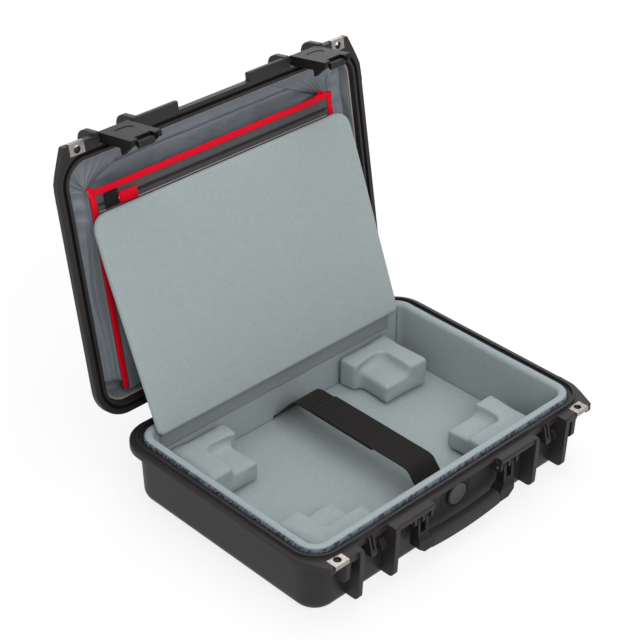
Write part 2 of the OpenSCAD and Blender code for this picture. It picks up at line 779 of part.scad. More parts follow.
// Padded divider with rounded edges, drawn flat and then raised
module divider_panel() color(foam_grey)
    translate([0, pivot_y, pivot_z]) rotate([90 - divider_lean, 0, 0]) {
        edge = divider_t / 2;
        corner = 22;
        middle = divider_l / 2 - divider_tail;
        translate([0, middle, divider_under - edge])
            tray(divider_half - corner, divider_l / 2 - corner, -edge, edge) {
                square_to(corner - edge, edge);
                translate([corner - edge, 0]) circle(r = edge);
            }
    }

module square_to(r, half) {
    translate([0, -half]) square([r, 2 * half]);
}

// Fabric strip that the divider folds on, along the padded wall
module divider_hinge() color(nylon_grey)
    box([-205, 205], [cy + liner_in - 2.2, cy + liner_in - 0.1],
        [pad_top + 1, pivot_z - 9.6]);

// ---------- Lid lining and pocket ----------

// Outer radius of the lid's wall, a depth below its top
function lid_r(depth) = lid_top_r + lid_draft * (depth - top_r) / (lid_h - seal_gap - top_r);

module lid_lining_solid(inset, depth) {
    translate([0, 0, lid_top]) mirror([0, 0, 1]) tray(cx, cy, wall + inset, depth)
        tray_section(lid_top_r, lid_r(depth), depth, top_r, wall + inset);
}

module lid_liner() color(nylon_grey) opened() difference() {
    lid_lining_solid(0.4, lining_depth);
    lid_lining_solid(0.4 + lining_t, lining_depth + 1);
}

// Piping along the lining's edge
module lid_piping() color(nylon_grey) opened() around(cx, cy)
    translate([lid_r(lining_depth) - wall - 0.4 - lining_t / 2, lid_top - lining_depth - piping_r - 0.1])
        circle(r = piping_r);

module pouch_back() color(nylon_grey) opened()
    box([-pocket_half + 1, pocket_half - 1], [pocket_front + 3, pocket_rear],
        [pocket_back, pocket_back + 1.5]);

// Side and rear walls of the document pocket behind the zipped pocket
module pouch_gusset() color(nylon_grey) opened() {
    low = pocket_back + 1.6;
    high = lid_top - wall - 0.4 - lining_t - 0.1;
    for (x = [-pocket_half + 2, pocket_half - 5])
        box([x, x + 3], [pocket_front + 6, pocket_rear - 9], [low, high]);
    box([-pocket_half + 2, pocket_half - 2], [pocket_rear - 12, pocket_rear - 9], [low, high]);
}

module pouch_front() color(nylon_grey) opened()
    box([-pocket_half + binding_w + 0.2, pocket_half - binding_w - 0.2], [zip_y + 9.2, pocket_rear],
        [pocket_low, pocket_low + pocket_t]);

// Binding round the pocket's top and sides, with a rounded outer edge
module pouch_binding() color(trim_red) opened() {
    edge = 1.2;
    rear = pocket_rear - 4;
    difference() {
        union() {
            box([-pocket_half + edge, pocket_half - edge], [pocket_front + edge, rear],
                [pocket_low - 0.4, pocket_low - 0.4 + 2 * edge]);
            bar(-pocket_half + edge, pocket_front + edge, pocket_low + 0.8, edge, 2 * (pocket_half - edge));
            for (x = [-1, 1]) translate([x * (pocket_half - edge), pocket_front + edge, pocket_low + 0.8]) {
                rotate([-90, 0, 0]) cylinder(r = edge, h = rear - pocket_front - edge);
                sphere(r = edge);
            }
        }
        box([-pocket_half + binding_w, pocket_half - binding_w], [pocket_front + binding_w, pocket_rear],
            [pocket_low - 1, pocket_low + 3]);
    }
}

module pouch_zip() color(mesh_grey) opened() {
    half = pocket_half - binding_w - 0.2;
    front_edge = pocket_front + binding_w + 0.2;
    box([-half, half], [front_edge, zip_y - 0.8], [pocket_low, pocket_low + 1.2]);
    box([-half, half], [zip_y + 0.8, zip_y + 9], [pocket_low, pocket_low + 1.2]);
    box([-half, half], [zip_y - 1.6, zip_y + 1.6], [pocket_low + 0.4, pocket_low + 1.2]);
}

// Slider: a body that narrows behind its wedge, and an eye for the pull
module zip_slider() color(steel) opened() translate([zip_x, zip_y, pocket_low - 2]) {
    body_t = 1.9;
    difference() {
        linear_extrude(height = body_t) {
            polygon([[-4, -1.6], [-2.4, -2.6], [1.6, -3.4], [4, -3.4], [4, 3.4], [1.6, 3.4],
                [-2.4, 2.6], [-4, 1.6]]);
            translate([4, 0]) circle(r = 3.4);
        }
        // shallow channel along the body's face
        translate([0, 0, -0.6]) linear_extrude(height = 1) oval(5, 1);
    }
    linear_extrude(height = 1) difference() {
        translate([-4.6, 0]) circle(r = 1.4);
        translate([-4.6, 0]) circle(r = 0.6);
    }
}

// Square finger patch beside the slider
module zip_pull() color(rubber) opened()
    box([zip_x - 26, zip_x - 6.1], [zip_y - 12, zip_y + 8], [pocket_low - 1.9, pocket_low - 0.3]);

// Cloth tab folded over the slider
module tab_red() color(trim_red) opened()
    box([zip_x - 5, zip_x + 23], [zip_y - 7, zip_y + 8], [pocket_low - 3.6, pocket_low - 2.1]);

base_shell();
lid_shell();
lid_gasket();
on_side(-1) hinge_pin();  // hinge_pin_left
on_side(1) hinge_pin();  // hinge_pin_right
base_hasp(-1);  // base_hasp_left
base_hasp(1);  // base_hasp_right
lid_hasp(-1);  // lid_hasp_left
lid_hasp(1);  // lid_hasp_right
latch(-1);  // latch_left
latch(1);  // latch_right
trigger(-1);  // latch_trigger_left
trigger(1);  // latch_trigger_right
latch_pin(-1);  // latch_pin_left
latch_pin(1);  // latch_pin_right
trigger_pin(-1);  // trigger_pin_left
trigger_pin(1);  // trigger_pin_right
trigger_spring(-1);  // trigger_spring_left
trigger_spring(1);  // trigger_spring_right
handle();
handle_grip();
on_side(-1) handle_pin();  // handle_pin_left
on_side(1) handle_pin();  // handle_pin_right
valve_body();
valve_cap();
base_liner();
liner_band();
floor_pad();
pad_rear(-1);  // pad_rear_left
pad_rear(1);  // pad_rear_right
pad_front(-1);  // pad_front_left
pad_front(1);  // pad_front_right
strap_rear();
strap_front();
divider_panel();
divider_hinge();
lid_liner();
lid_piping();
pouch_back();
pouch_gusset();
pouch_front();
pouch_binding();
pouch_zip();
zip_slider();
zip_pull();
tab_red();
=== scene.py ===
# Dresses the hard case for the render: materials for its rigid parts, and soft pieces in place
# of the plain padding, lining, straps and zipped pocket. Sizes below are in millimetres.
import json
import math
import random

import bmesh
import bpy
import numpy as np
from mathutils import Matrix, Vector

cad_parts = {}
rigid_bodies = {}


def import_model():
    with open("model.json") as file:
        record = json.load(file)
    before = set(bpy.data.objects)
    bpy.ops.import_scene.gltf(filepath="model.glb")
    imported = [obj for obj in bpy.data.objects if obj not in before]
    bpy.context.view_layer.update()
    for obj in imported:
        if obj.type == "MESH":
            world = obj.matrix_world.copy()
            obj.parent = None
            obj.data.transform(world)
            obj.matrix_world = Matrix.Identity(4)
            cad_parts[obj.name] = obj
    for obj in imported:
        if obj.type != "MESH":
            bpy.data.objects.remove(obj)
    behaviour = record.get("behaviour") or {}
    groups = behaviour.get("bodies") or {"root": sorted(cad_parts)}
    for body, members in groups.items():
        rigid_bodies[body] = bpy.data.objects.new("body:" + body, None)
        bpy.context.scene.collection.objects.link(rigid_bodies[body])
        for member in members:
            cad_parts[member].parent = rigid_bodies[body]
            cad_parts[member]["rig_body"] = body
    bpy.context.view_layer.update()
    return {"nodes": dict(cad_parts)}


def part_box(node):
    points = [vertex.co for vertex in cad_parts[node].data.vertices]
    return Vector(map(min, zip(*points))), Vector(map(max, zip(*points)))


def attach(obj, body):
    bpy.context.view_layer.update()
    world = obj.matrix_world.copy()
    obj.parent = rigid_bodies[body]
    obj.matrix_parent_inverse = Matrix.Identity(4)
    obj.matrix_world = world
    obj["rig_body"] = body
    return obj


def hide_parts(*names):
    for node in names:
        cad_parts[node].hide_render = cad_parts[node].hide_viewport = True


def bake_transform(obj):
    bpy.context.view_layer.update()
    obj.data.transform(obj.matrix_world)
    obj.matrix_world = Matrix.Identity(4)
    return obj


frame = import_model()
MM = 0.001
nodes = frame["nodes"]

# ---------- Sizes shared with the CAD source ----------
CASE_W, CASE_D, RIM_R = 504.0, 356.0, 46.0
CX, CY = CASE_W / 2 - RIM_R, CASE_D / 2 - RIM_R  # the centres of all corner rounds
HINGE_Y, HINGE_Z, LID_ANGLE, LID_TOP = 190.7, 82.1, math.radians(100), 131.0
LINER_OUT, LINER_IN, LINER_TOP = 28.4, 15.6, 96.6  # two corner radii and a height
POCKET_HALF, POCKET_LOW, POCKET_FRONT, POCKET_REAR = 203.0, 101.0, -117.6, 155.4
BINDING_W, ZIP_Y, ZIP_X = 9.0, -96.0, -157.0
STRAP_X, STRAP_W, STRAP_T = 11.0, 47.0, 2.0


# ---------- Camera, lights and floor ----------
def look_from(azimuth, elevation, roll, distance, target, focal_px, frame_px):
    """Places the camera; azimuth is counted from -Y towards -X."""
    a, e, r = (math.radians(v) for v in (azimuth, elevation, roll))
    back = Vector((-math.sin(a) * math.cos(e), -math.cos(a) * math.cos(e), math.sin(e)))
    right = Vector((0, 0, 1)).cross(back).normalized()
    up = back.cross(right)
    side = right * math.cos(r) + up * math.sin(r)
    top = up * math.cos(r) - right * math.sin(r)
    data = bpy.data.cameras.new("camera")
    data.sensor_width = 36.0
    data.lens = focal_px / frame_px * data.sensor_width
    data.clip_start, data.clip_end = 0.05, 30.0
    cam = bpy.data.objects.new("camera", data)
    bpy.context.scene.collection.objects.link(cam)
    place = Matrix((side, top, back)).transposed().to_4x4()
    place.translation = (Vector(target) + back * distance) * MM
    cam.matrix_world = place
    bpy.context.scene.camera = cam


look_from(44.63, 32.94, 0.68, 2254.91, (6.53, 79.33, 193.27), 1792.0, 640.0)


def area_light(name, place, aim, size, power):
    data = bpy.data.lights.new(name, "AREA")
    data.shape, data.size, data.size_y, data.energy = "RECTANGLE", size[0], size[1], power
    lamp = bpy.data.objects.new(name, data)
    lamp.location = place
    lamp.rotation_euler = (Vector(aim) - Vector(place)).to_track_quat("-Z", "Y").to_euler()
    bpy.context.scene.collection.objects.link(lamp)


area_light("key", (-1.0, -1.9, 2.0), (0, 0, 0.15), (1.6, 1.4), 34)
area_light("top", (0.2, 0.1, 2.6), (0, 0, 0.1), (2.2, 1.8), 26)
area_light("rim", (1.5, 1.6, 1.5), (0, 0.1, 0.2), (1.2, 1.2), 12)


def seen_directly(tree):
    """1 for rays from the camera, or by way of gloss or glass, and 0 for those that carry light."""
    path = tree.nodes.new("ShaderNodeLightPath")
    total = path.outputs["Is Camera Ray"]
    for kind in ("Is Glossy Ray", "Is Transmission Ray"):
        add = tree.nodes.new("ShaderNodeMath")
        add.operation = "MAXIMUM"
        tree.links.new(total, add.inputs[0])
        tree.links.new(path.outputs[kind], add.inputs[1])
        total = add.outputs[0]
    return total


def mix_into(output, factor, *shaders):
    """Mixes two shaders by a factor into a tree's output node."""
    tree = output.id_data
    mix = tree.nodes.new("ShaderNodeMixShader")
    for socket, source in enumerate((factor, *shaders)):
        tree.links.new(source, mix.inputs[socket])
    tree.links.new(mix.outputs[0], output.inputs["Surface"])


WORLD_LIGHT, WORLD_SEEN = 0.62, 1.0
world = bpy.data.worlds.new("studio")
bpy.context.scene.world = world
world.use_nodes = True
sky = world.node_tree
sky.nodes.clear()
glows = [sky.nodes.new("ShaderNodeBackground") for _ in range(2)]
for glow, strength in zip(glows, (WORLD_LIGHT, WORLD_SEEN)):
    glow.inputs["Color"].default_value = (1, 1, 1, 1)
    glow.inputs["Strength"].default_value = strength
mix_into(sky.nodes.new("ShaderNodeOutputWorld"), seen_directly(sky), *(glow.outputs[0] for glow in glows))
bpy.context.scene.view_settings.view_transform = "Standard"


# ---------- Materials ----------
class Nodes:
    """A material's node tree, with short ways to add what is used again and again."""

    def __init__(self, name, color, rough, metal=0.0, specular=0.5, sheen=0.0, sheen_rough=0.5):
        self.material = bpy.data.materials.new(name)
        self.material.use_nodes = True
        self.tree = self.material.node_tree
        self.shader = self.tree.nodes["Principled BSDF"]
        self.set(self.shader, "Base Color", (*color, 1.0))
        self.set(self.shader, "Roughness", rough)
        self.set(self.shader, "Metallic", metal)
        self.set(self.shader, "Specular IOR Level", specular)
        if sheen:
            self.set(self.shader, "Sheen Weight", sheen)
            self.set(self.shader, "Sheen Roughness", sheen_rough)
        self.place = self.tree.nodes.new("ShaderNodeTexCoord")

    def set(self, node, socket, value):
        node.inputs[socket].default_value = value

    def join(self, output, node, socket):
        self.tree.links.new(output, node.inputs[socket])

    def add(self, kind, result, inputs, **settings):
        """A new node whose inputs are plain values or other nodes' outputs; gives back its output."""
        node = self.tree.nodes.new("ShaderNode" + kind)
        for name, value in settings.items():
            setattr(node, name, value)
        for socket, value in inputs.items():
            if isinstance(value, bpy.types.NodeSocket):
                self.join(value, node, socket)
            elif value is not None:
                self.set(node, socket, value)
        return node.outputs[result]

    def coords(self, kind="Object", scale=(1, 1, 1), turn=(0, 0, 0)):
        return self.add("Mapping", 0, {"Vector": self.place.outputs[kind], "Scale": scale, "Rotation": turn})

    def noise(self, vector, scale, detail=3.0, rough=0.55):
        return self.add("TexNoise", "Fac", {"Vector": vector, "Scale": scale, "Detail": detail, "Roughness": rough})

    def cells(self, vector, scale):
        return self.add("TexVoronoi", "Distance", {"Vector": vector, "Scale": scale})

    def wave(self, vector, scale, axis="X"):
        return self.add("TexWave", "Fac", {"Vector": vector, "Scale": scale}, bands_direction=axis)

    def math(self, kind, a, b):
        return self.add("Math", 0, {0: a, 1: b}, operation=kind)

    def total(self, *parts):
        """The sum of values, each times its weight."""
        value, weight = parts[0]
        term = self.math("MULTIPLY", value, weight)
        return self.math("ADD", term, self.total(*parts[1:])) if parts[1:] else term

    def levels(self, value, low, high):
        return self.add("MapRange", "Result", {"Value": value, "To Min": low, "To Max": high})

    def bump(self, height, distance, strength=1.0, after=None):
        return self.add("Bump", "Normal",
                        {"Height": height, "Distance": distance, "Strength": strength, "Normal": after})

    def edges(self, radius):
        return self.add("Bevel", "Normal", {"Radius": radius}, samples=6)

    def ramp(self, value, color, *stops):
        """Shades of a colour by value; each stop is a position and a factor."""
        n = self.tree.nodes.new("ShaderNodeValToRGB")
        self.join(value, n, "Fac")
        while len(n.color_ramp.elements) < len(stops):
            n.color_ramp.elements.new(0.5)
        for e, (at, factor) in zip(n.color_ramp.elements, stops):
            e.position, e.color = at, (*(min(1.0, c * factor) for c in color), 1.0)
        return n.outputs["Color"]

    def finish(self, color=None, rough=None, normal=None):
        for value, socket in ((color, "Base Color"), (rough, "Roughness"), (normal, "Normal")):
            if value is not None:
                self.join(value, self.shader, socket)
        return self.material


def moulded(name, color, rough, grain=900.0, depth=0.00006, edge=0.0007, specular=0.5):
    """Moulded plastic: fine spark-eroded grain, faint flow marks and softened edges."""
    m = Nodes(name, color, rough, specular=specular)
    at = m.coords()
    fine = m.noise(at, grain, 4.0, 0.7)
    broad = m.noise(at, 9.0, 3.0, 0.6)
    scuff = m.noise(m.coords(scale=(1, 6, 1), turn=(0.3, 0.2, 0.6)), 55.0, 5.0, 0.7)
    tone = m.total((broad, 0.7), (scuff, 0.3))
    shade = m.ramp(tone, color, (0.3, 0.86), (0.55, 1.0), (0.75, 1.16))
    matt = m.levels(m.total((fine, 0.5), (scuff, 0.5)), rough - 0.07, rough + 0.09)
    return m.finish(shade, matt, m.bump(fine, depth, 0.8, m.edges(edge)))


def metal(name, color, rough):
    """Brushed or plated steel with fine drawn lines and faint dulling."""
    m = Nodes(name, color, rough, metal=1.0)
    lines = m.noise(m.coords(scale=(1, 30, 30)), 400.0, 3.0, 0.6)
    cloud = m.noise(m.coords(), 60.0, 4.0, 0.6)
    shade = m.ramp(cloud, color, (0.3, 0.82), (0.6, 1.0), (0.8, 1.08))
    return m.finish(shade, m.levels(m.math("MULTIPLY", lines, cloud), rough - 0.08, rough + 0.2),
                    m.bump(lines, 0.00002, 0.6, m.edges(0.0004)))


def pile(name, color, scale=1500.0, depth=0.00022, sheen=0.35):
    """Brushed loop fabric over foam: tiny matted loops with faint clouding where the nap lies over."""
    m = Nodes(name, color, 0.95, specular=0.2, sheen=sheen, sheen_rough=0.55)
    at = m.coords()
    loops = m.cells(at, scale)
    nap = m.noise(at, scale * 0.45, 4.0, 0.65)
    lay = m.noise(m.coords(scale=(1, 2.2, 1), turn=(0, 0, 0.5)), 90.0, 4.0, 0.65)
    fleck = m.noise(at, scale * 0.2, 2.0, 0.5)
    tone = m.total((lay, 0.22), (fleck, 0.28), (nap, 0.5))
    shade = m.ramp(tone, color, (0.32, 0.90), (0.5, 1.0), (0.68, 1.09))
    height = m.total((loops, 0.6), (nap, 0.8))
    return m.finish(shade, None, m.bump(height, depth, 0.9))


def wave_scale(pitch):
    """The wave texture's scale for bands pitch mm apart on a UV map in metres."""
    return 1000.0 / pitch / 20.0 * math.pi


def woven(name, color, rough, crease=0.0009, fold=0.0015):
    """Plain-woven cloth on the piece's own UV map, which is in metres, with fine creases."""
    m = Nodes(name, color, rough, specular=0.45, sheen=0.1, sheen_rough=0.4)
    uv = m.coords("UV")
    turns = wave_scale(0.7)
    warp, weft = m.wave(uv, turns, "X"), m.wave(uv, turns, "Y")
    weave = m.total((warp, 0.5), (weft, 0.5))
    crumple = m.noise(m.coords(scale=(1, 1, 0.45), turn=(0.2, 0.5, 0.3)), 70.0, 4.0, 0.55)
    dust = m.noise(m.coords(), 14.0, 3.0, 0.6)
    tone = m.total((weave, 0.35), (dust, 0.65))
    shade = m.ramp(tone, color, (0.25, 0.78), (0.5, 1.0), (0.8, 1.2))
    slack = m.noise(m.coords(scale=(1, 0.5, 1), turn=(0.4, 0.1, 0.7)), 27.0, 3.0, 0.5)
    body = m.bump(crumple, crease, 0.7, m.bump(slack, fold, 0.8))
    return m.finish(shade, m.levels(dust, rough - 0.08, rough + 0.1), m.bump(weave, 0.00012, 0.8, body))


def ribbed(name, color, rough, pitch, depth, axis="X", sheen=0.2, shine=0.3):
    """Grosgrain, tape or webbing: fine ribs along one UV direction, crossed by a softer yarn."""
    m = Nodes(name, color, rough, specular=shine, sheen=sheen, sheen_rough=0.5)
    uv = m.coords("UV")
    turns = wave_scale(pitch)
    ribs = m.wave(uv, turns, axis)
    yarn = m.wave(uv, turns * 1.7, "Y" if axis == "X" else "X")
    fuzz = m.noise(m.coords(), 900.0, 3.0, 0.6)
    height = m.total((ribs, 1.0), (yarn, 0.35), (fuzz, 0.4))
    tone = m.total((ribs, 0.45), (fuzz, 0.55))
    shade = m.ramp(tone, color, (0.2, 0.72), (0.5, 1.0), (0.85, 1.25))
    return m.finish(shade, None, m.bump(height, depth, 0.8))


SHELL = moulded("shell_plastic", (0.0190, 0.0163, 0.0172), 0.47, edge=0.0013, specular=0.24)
LATCH = moulded("latch_plastic", (0.0115, 0.0099, 0.0106), 0.44, grain=1300.0, depth=0.00003, specular=0.15)
TRIGGER = moulded("trigger_plastic", (0.008, 0.008, 0.0085), 0.42, grain=1300.0, depth=0.00003, specular=0.3)
GRIP = moulded("grip_rubber", (0.0235, 0.0215, 0.0220), 0.64, grain=1500.0, depth=0.00014, edge=0.001, specular=0.3)
VALVE = moulded("valve_plastic", (0.045, 0.044, 0.047), 0.5, grain=1400.0, depth=0.00008, specular=0.4)
SEAL = moulded("seal_rubber", (0.006, 0.006, 0.0065), 0.6, grain=700.0, depth=0.00003, specular=0.2)
HASP = metal("hasp_nickel", (0.33, 0.305, 0.285), 0.27)
PIN = metal("pin_steel", (0.60, 0.60, 0.61), 0.33)
FOAM = pile("foam_fabric", (0.286, 0.332, 0.338), sheen=0.11)
# a darker copy of the foam fabric, as painted shade: for the divider's hinge cloth under the panel and the rear
# corner seams
FOAM_PAINTED_SHADE = pile("foam_fabric_painted_shade", (0.20, 0.225, 0.235), sheen=0.2)
HOOK = pile("hook_dark", (0.030, 0.040, 0.056), scale=1100.0, depth=0.0005, sheen=0.0)
HOOK_LIGHT = pile("hook_band", (0.135, 0.170, 0.210), scale=1100.0, depth=0.0008, sheen=0.1)
HOOK_PALE = pile("hook_pale", (0.230, 0.280, 0.330), scale=1100.0, depth=0.0004, sheen=0.1)
NYLON = woven("lining_nylon", (0.172, 0.191, 0.215), rough=0.40, crease=0.0014, fold=0.0055)
# a darker copy of the lining nylon, as painted shade: for the pocket's backing, which lies deeper in the pocket
NYLON_PAINTED_SHADE = woven("lining_nylon_painted_shade", (0.125, 0.138, 0.160), rough=0.5)
STRAP = ribbed("strap_webbing", (0.014, 0.0125, 0.012), 0.9, 1.1, 0.00025, sheen=0.03, shine=0.1)
RED = ribbed("red_binding", (0.68, 0.0015, 0.018), 0.75, 0.9, 0.00018, sheen=0.0, shine=0.12)
TAPE = ribbed("zip_tape", (0.075, 0.068, 0.073), 0.8, 0.8, 0.00015, axis="Y", sheen=0.05)
EDGE = ribbed("edge_tape", (0.36, 0.34, 0.32), 0.8, 0.8, 0.00012, sheen=0.0)
COIL = moulded("zip_coil", (0.030, 0.028, 0.032), 0.4, grain=1500.0, depth=0.00002, edge=0.0002)
THREAD_RED, THREAD_BLACK = (moulded(name, color, 0.8, grain=2000.0, depth=0.00004, edge=0.0001) for name, color in (
    ("thread_red", (0.46, 0.003, 0.012)), ("thread_black", (0.016, 0.015, 0.015))))

# the floor is seen mostly as plain white, with a share of its lit shade so that it keeps the shadow
FLOOR_GLOW = 0.8
ground = Nodes("floor_paint", (0.90, 0.90, 0.90), 0.9, specular=0.1)
shade_noise = ground.noise(ground.coords(), 1.5, 1.0)
FLOOR = ground.finish(ground.ramp(shade_noise, (1, 1, 1), (0.3, 0.895), (0.7, 0.905)))
mix_into(ground.tree.nodes["Material Output"], ground.math("MULTIPLY", seen_directly(ground.tree), FLOOR_GLOW),
         ground.shader.outputs[0], ground.tree.nodes.new("ShaderNodeEmission").outputs[0])

for cad_name, finish_material in {
    "base_shell": SHELL, "lid_shell": SHELL, "lid_gasket": SEAL, "handle": LATCH, "handle_grip": GRIP,
    "valve_body": SEAL, "valve_cap": VALVE,
    **{f"{n}_{s}": m for s in ("left", "right") for n, m in {
        "hinge_pin": PIN, "base_hasp": HASP, "lid_hasp": HASP, "latch": LATCH, "latch_trigger": TRIGGER,
        "latch_pin": PIN, "trigger_pin": PIN, "trigger_spring": PIN, "handle_pin": PIN}.items()},
}.items():
    mesh = nodes[cad_name].data
    mesh.materials.clear()
    mesh.materials.append(finish_material)


# ---------- Mesh helpers ----------
def net(x, y, z):
    """Points from coordinates that broadcast together."""
    return np.stack(np.broadcast_arrays(x, y, z), -1)


def opened(points):
    """Closed-lid coordinates to where the open lid holds them."""
    x, y, z = np.moveaxis(points, -1, 0)
    dy, dz = HINGE_Y - y, z - HINGE_Z
    c, s = math.cos(LID_ANGLE), math.sin(LID_ANGLE)
    return net(x, HINGE_Y - dy * c + dz * s, HINGE_Z + dy * s + dz * c)


def piece(name, points, faces, material, body, uv=None, slot=None, stands_for=None):
    """A named mesh piece from points in millimetres, those of the lid as it is when shut; uv is in metres."""
    points = np.array(points, float).reshape(-1, 3)
    if body in ("lid", "zip"):
        points = opened(points)
    mesh = bpy.data.meshes.new(name)
    mesh.from_pydata((points * MM).tolist(), [], faces)
    if uv is not None:
        layer = mesh.uv_layers.new(name="UVMap")
        flat = np.array(uv, float).reshape(-1, 2)
        index = np.zeros(len(mesh.loops), int)
        mesh.loops.foreach_get("vertex_index", index)
        layer.data.foreach_set("uv", flat[index].astype(np.float32).ravel())
    mesh.polygons.foreach_set("use_smooth", [True] * len(mesh.polygons))
    mesh.materials.append(material)
    obj = bpy.data.objects.new(name, mesh)
    bpy.context.scene.collection.objects.link(obj)
    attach(obj, body)
    if stands_for:
        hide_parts(stands_for)
    return obj


def grid_faces(nu, nv, loop_u=False, loop_v=False, start=0):
    """Quads over a grid of nu by nv points, v running fastest."""
    faces = []
    for i in range(nu if loop_u else nu - 1):
        for j in range(nv if loop_v else nv - 1):
            a, b = i * nv, ((i + 1) % nu) * nv
            k = (j + 1) % nv
            faces.append([start + a + j, start + b + j, start + b + k, start + a + k])
    return faces


def rim(chain, offset):
    """Quads from a chain of points to their copies, which come offset later in the list."""
    return [[b, a, a + offset, b + offset] for a, b in zip(chain, chain[1:])]


def path_round(dx, dy, reference, step=6.0, turn=5.0):
    """Walks the rounded rectangle's core: core points, outward normals and arc length at a radius."""
    core, normal = [], []
    corners = [(dx, dy), (-dx, dy), (-dx, -dy), (dx, -dy)]
    for q, (here, there) in enumerate(zip(corners, corners[1:] + corners[:1])):
        n, m = int(round(90 / turn)), max(2, int(round(math.dist(here, there) / step)))
        angles = [math.radians(90 * (q + i / n)) for i in range(n + 1)]
        core += [here] * (n + 1) + [[a + (b - a) * i / m for a, b in zip(here, there)] for i in range(1, m)]
        normal += [(math.cos(a), math.sin(a)) for a in angles + angles[-1:] * (m - 1)]
    core, normal = np.array(core), np.array(normal)
    return core, normal, distances(core + normal * reference)


def distances(line):
    """How far along a line of points each of them is."""
    return np.concatenate([[0], np.cumsum(np.linalg.norm(np.diff(line, axis=0), axis=1))])


def sines(seed, count, low, high):
    """A smooth one- or two-way wobble, the same at every run."""
    rng = random.Random(seed)
    terms = [(rng.uniform(low, high), rng.uniform(low, high), rng.uniform(0, 6.28), rng.uniform(0.5, 1))
             for _ in range(count)]
    total = sum(t[3] for t in terms)

    def wobble(a, b=0.0):
        return sum(w * np.sin(f * a + g * b + p) for f, g, p, w in terms) / total
    return wobble


def round_grid(core, normal, r, z):
    """Points for sections r, z, which are arrays of [along, section] or of [section]."""
    return net(*(core[:, None, k] + normal[:, None, k] * r for k in (0, 1)), z)


def left_of(line):
    """For each point of a flat line, the unit vector to its left."""
    d = np.gradient(line, axis=0)
    return np.stack([-d[:, 1], d[:, 0]], -1) / np.linalg.norm(d, axis=1)[:, None]


def uv_grid(u, v):
    """UVs, in metres, for a net of points at distances u and v in mm."""
    return np.stack(np.meshgrid(u, v, indexing="ij"), -1).reshape(-1, 2) * MM


def section_lengths(r, z):
    return np.concatenate([[0], np.cumsum(np.hypot(np.diff(r), np.diff(z)))])


def fine_line(points, step):
    """Resamples a polyline through its points on a smooth curve."""
    p = np.array(points, float)
    ext = np.vstack([2 * p[0] - p[1], p, 2 * p[-1] - p[-2]])
    out = []
    for i in range(1, len(ext) - 2):
        n = max(2, int(np.linalg.norm(ext[i + 1] - ext[i]) / step))
        for k in range(n):
            t = k / n
            a, b, c, d = ext[i - 1:i + 3]
            out.append(0.5 * (2 * b + (c - a) * t + (2 * a - 5 * b + 4 * c - d) * t * t
                              + (3 * b - a - 3 * c + d) * t ** 3))
    out.append(p[-1])
    return np.array(out)


def quads_tube(line, radius, sides=8, closed=False, squeeze=1.0):
    """Points and faces of a round tube along a line."""
    line = np.array(line, float)
    n = len(line)
    if closed:
        tangent = np.roll(line, -1, 0) - np.roll(line, 1, 0)
    else:
        tangent = np.gradient(line, axis=0)
    tangent /= np.linalg.norm(tangent, axis=1)[:, None] + 1e-12
    ref = np.array([0.0, 0.0, 1.0]) if abs(tangent[0, 2]) < 0.9 else np.array([1.0, 0.0, 0.0])
    pts = []
    for i in range(n):
        side = np.cross(tangent[i], ref)
        side /= np.linalg.norm(side) + 1e-12
        ref = np.cross(side, tangent[i])
        for k in range(sides):
            a = 2 * math.pi * k / sides
            pts.append(line[i] + radius * (math.cos(a) * side + squeeze * math.sin(a) * ref))
    faces = grid_faces(n, sides, loop_u=closed, loop_v=True)
    if not closed:
        faces.append(list(range(sides)))
        faces.append([(n - 1) * sides + k for k in reversed(range(sides))])
    return pts, faces


def tubes(name, lines, radius, sides, material, body, **how):
    """Tubes along several lines, as one mesh."""
    pts, faces = [], []
    for line in lines:
        p, f = quads_tube(line, radius, sides)
        faces += [[i + len(pts) for i in face] for face in f]
        pts += p
    return piece(name, pts, faces, material, body, **how)


def stitches(name, line, material, body, pitch=3.2, length=2.3, radius=0.28):
    """Short raised threads along a line, as one mesh."""
    line = np.array(line, float)
    arc = distances(line)
    middles = [(k + 0.5) * pitch for k in range(int(arc[-1] / pitch))]
    threads = [[[np.interp(at + end, arc, line[:, c]) for c in range(3)] for end in (-length / 2, 0, length / 2)]
               for at in middles]
    tubes(name, threads, radius, 6, material, body)


FLOOR_HALF, FLOOR_DROP = 6.0, 0.0005
floor_mesh = bpy.data.meshes.new("floor")
floor_mesh.from_pydata([(x * FLOOR_HALF, y * FLOOR_HALF, 0) for x, y in ((-1, -1), (1, -1), (1, 1), (-1, 1))], [],
                       [[0, 1, 2, 3]])
floor_mesh.materials.append(FLOOR)
floor = bpy.data.objects.new("floor", floor_mesh)
floor.location.z = -FLOOR_DROP
bpy.context.scene.collection.objects.link(floor)


# ---------- Soft goods ----------
def edge_steps(half, step, fine=(0.0, 0.35, 0.9, 1.7, 2.8, 4.2, 6.0, 9.0)):
    """Positions from -half to half that crowd together at both ends."""
    inner = half - fine[-1]
    n = max(2, int(round(2 * inner / step)))
    left = [-half + f for f in fine[:-1]]
    return np.array(left + list(np.linspace(-inner, inner, n + 1)) + [-v for v in reversed(left)])


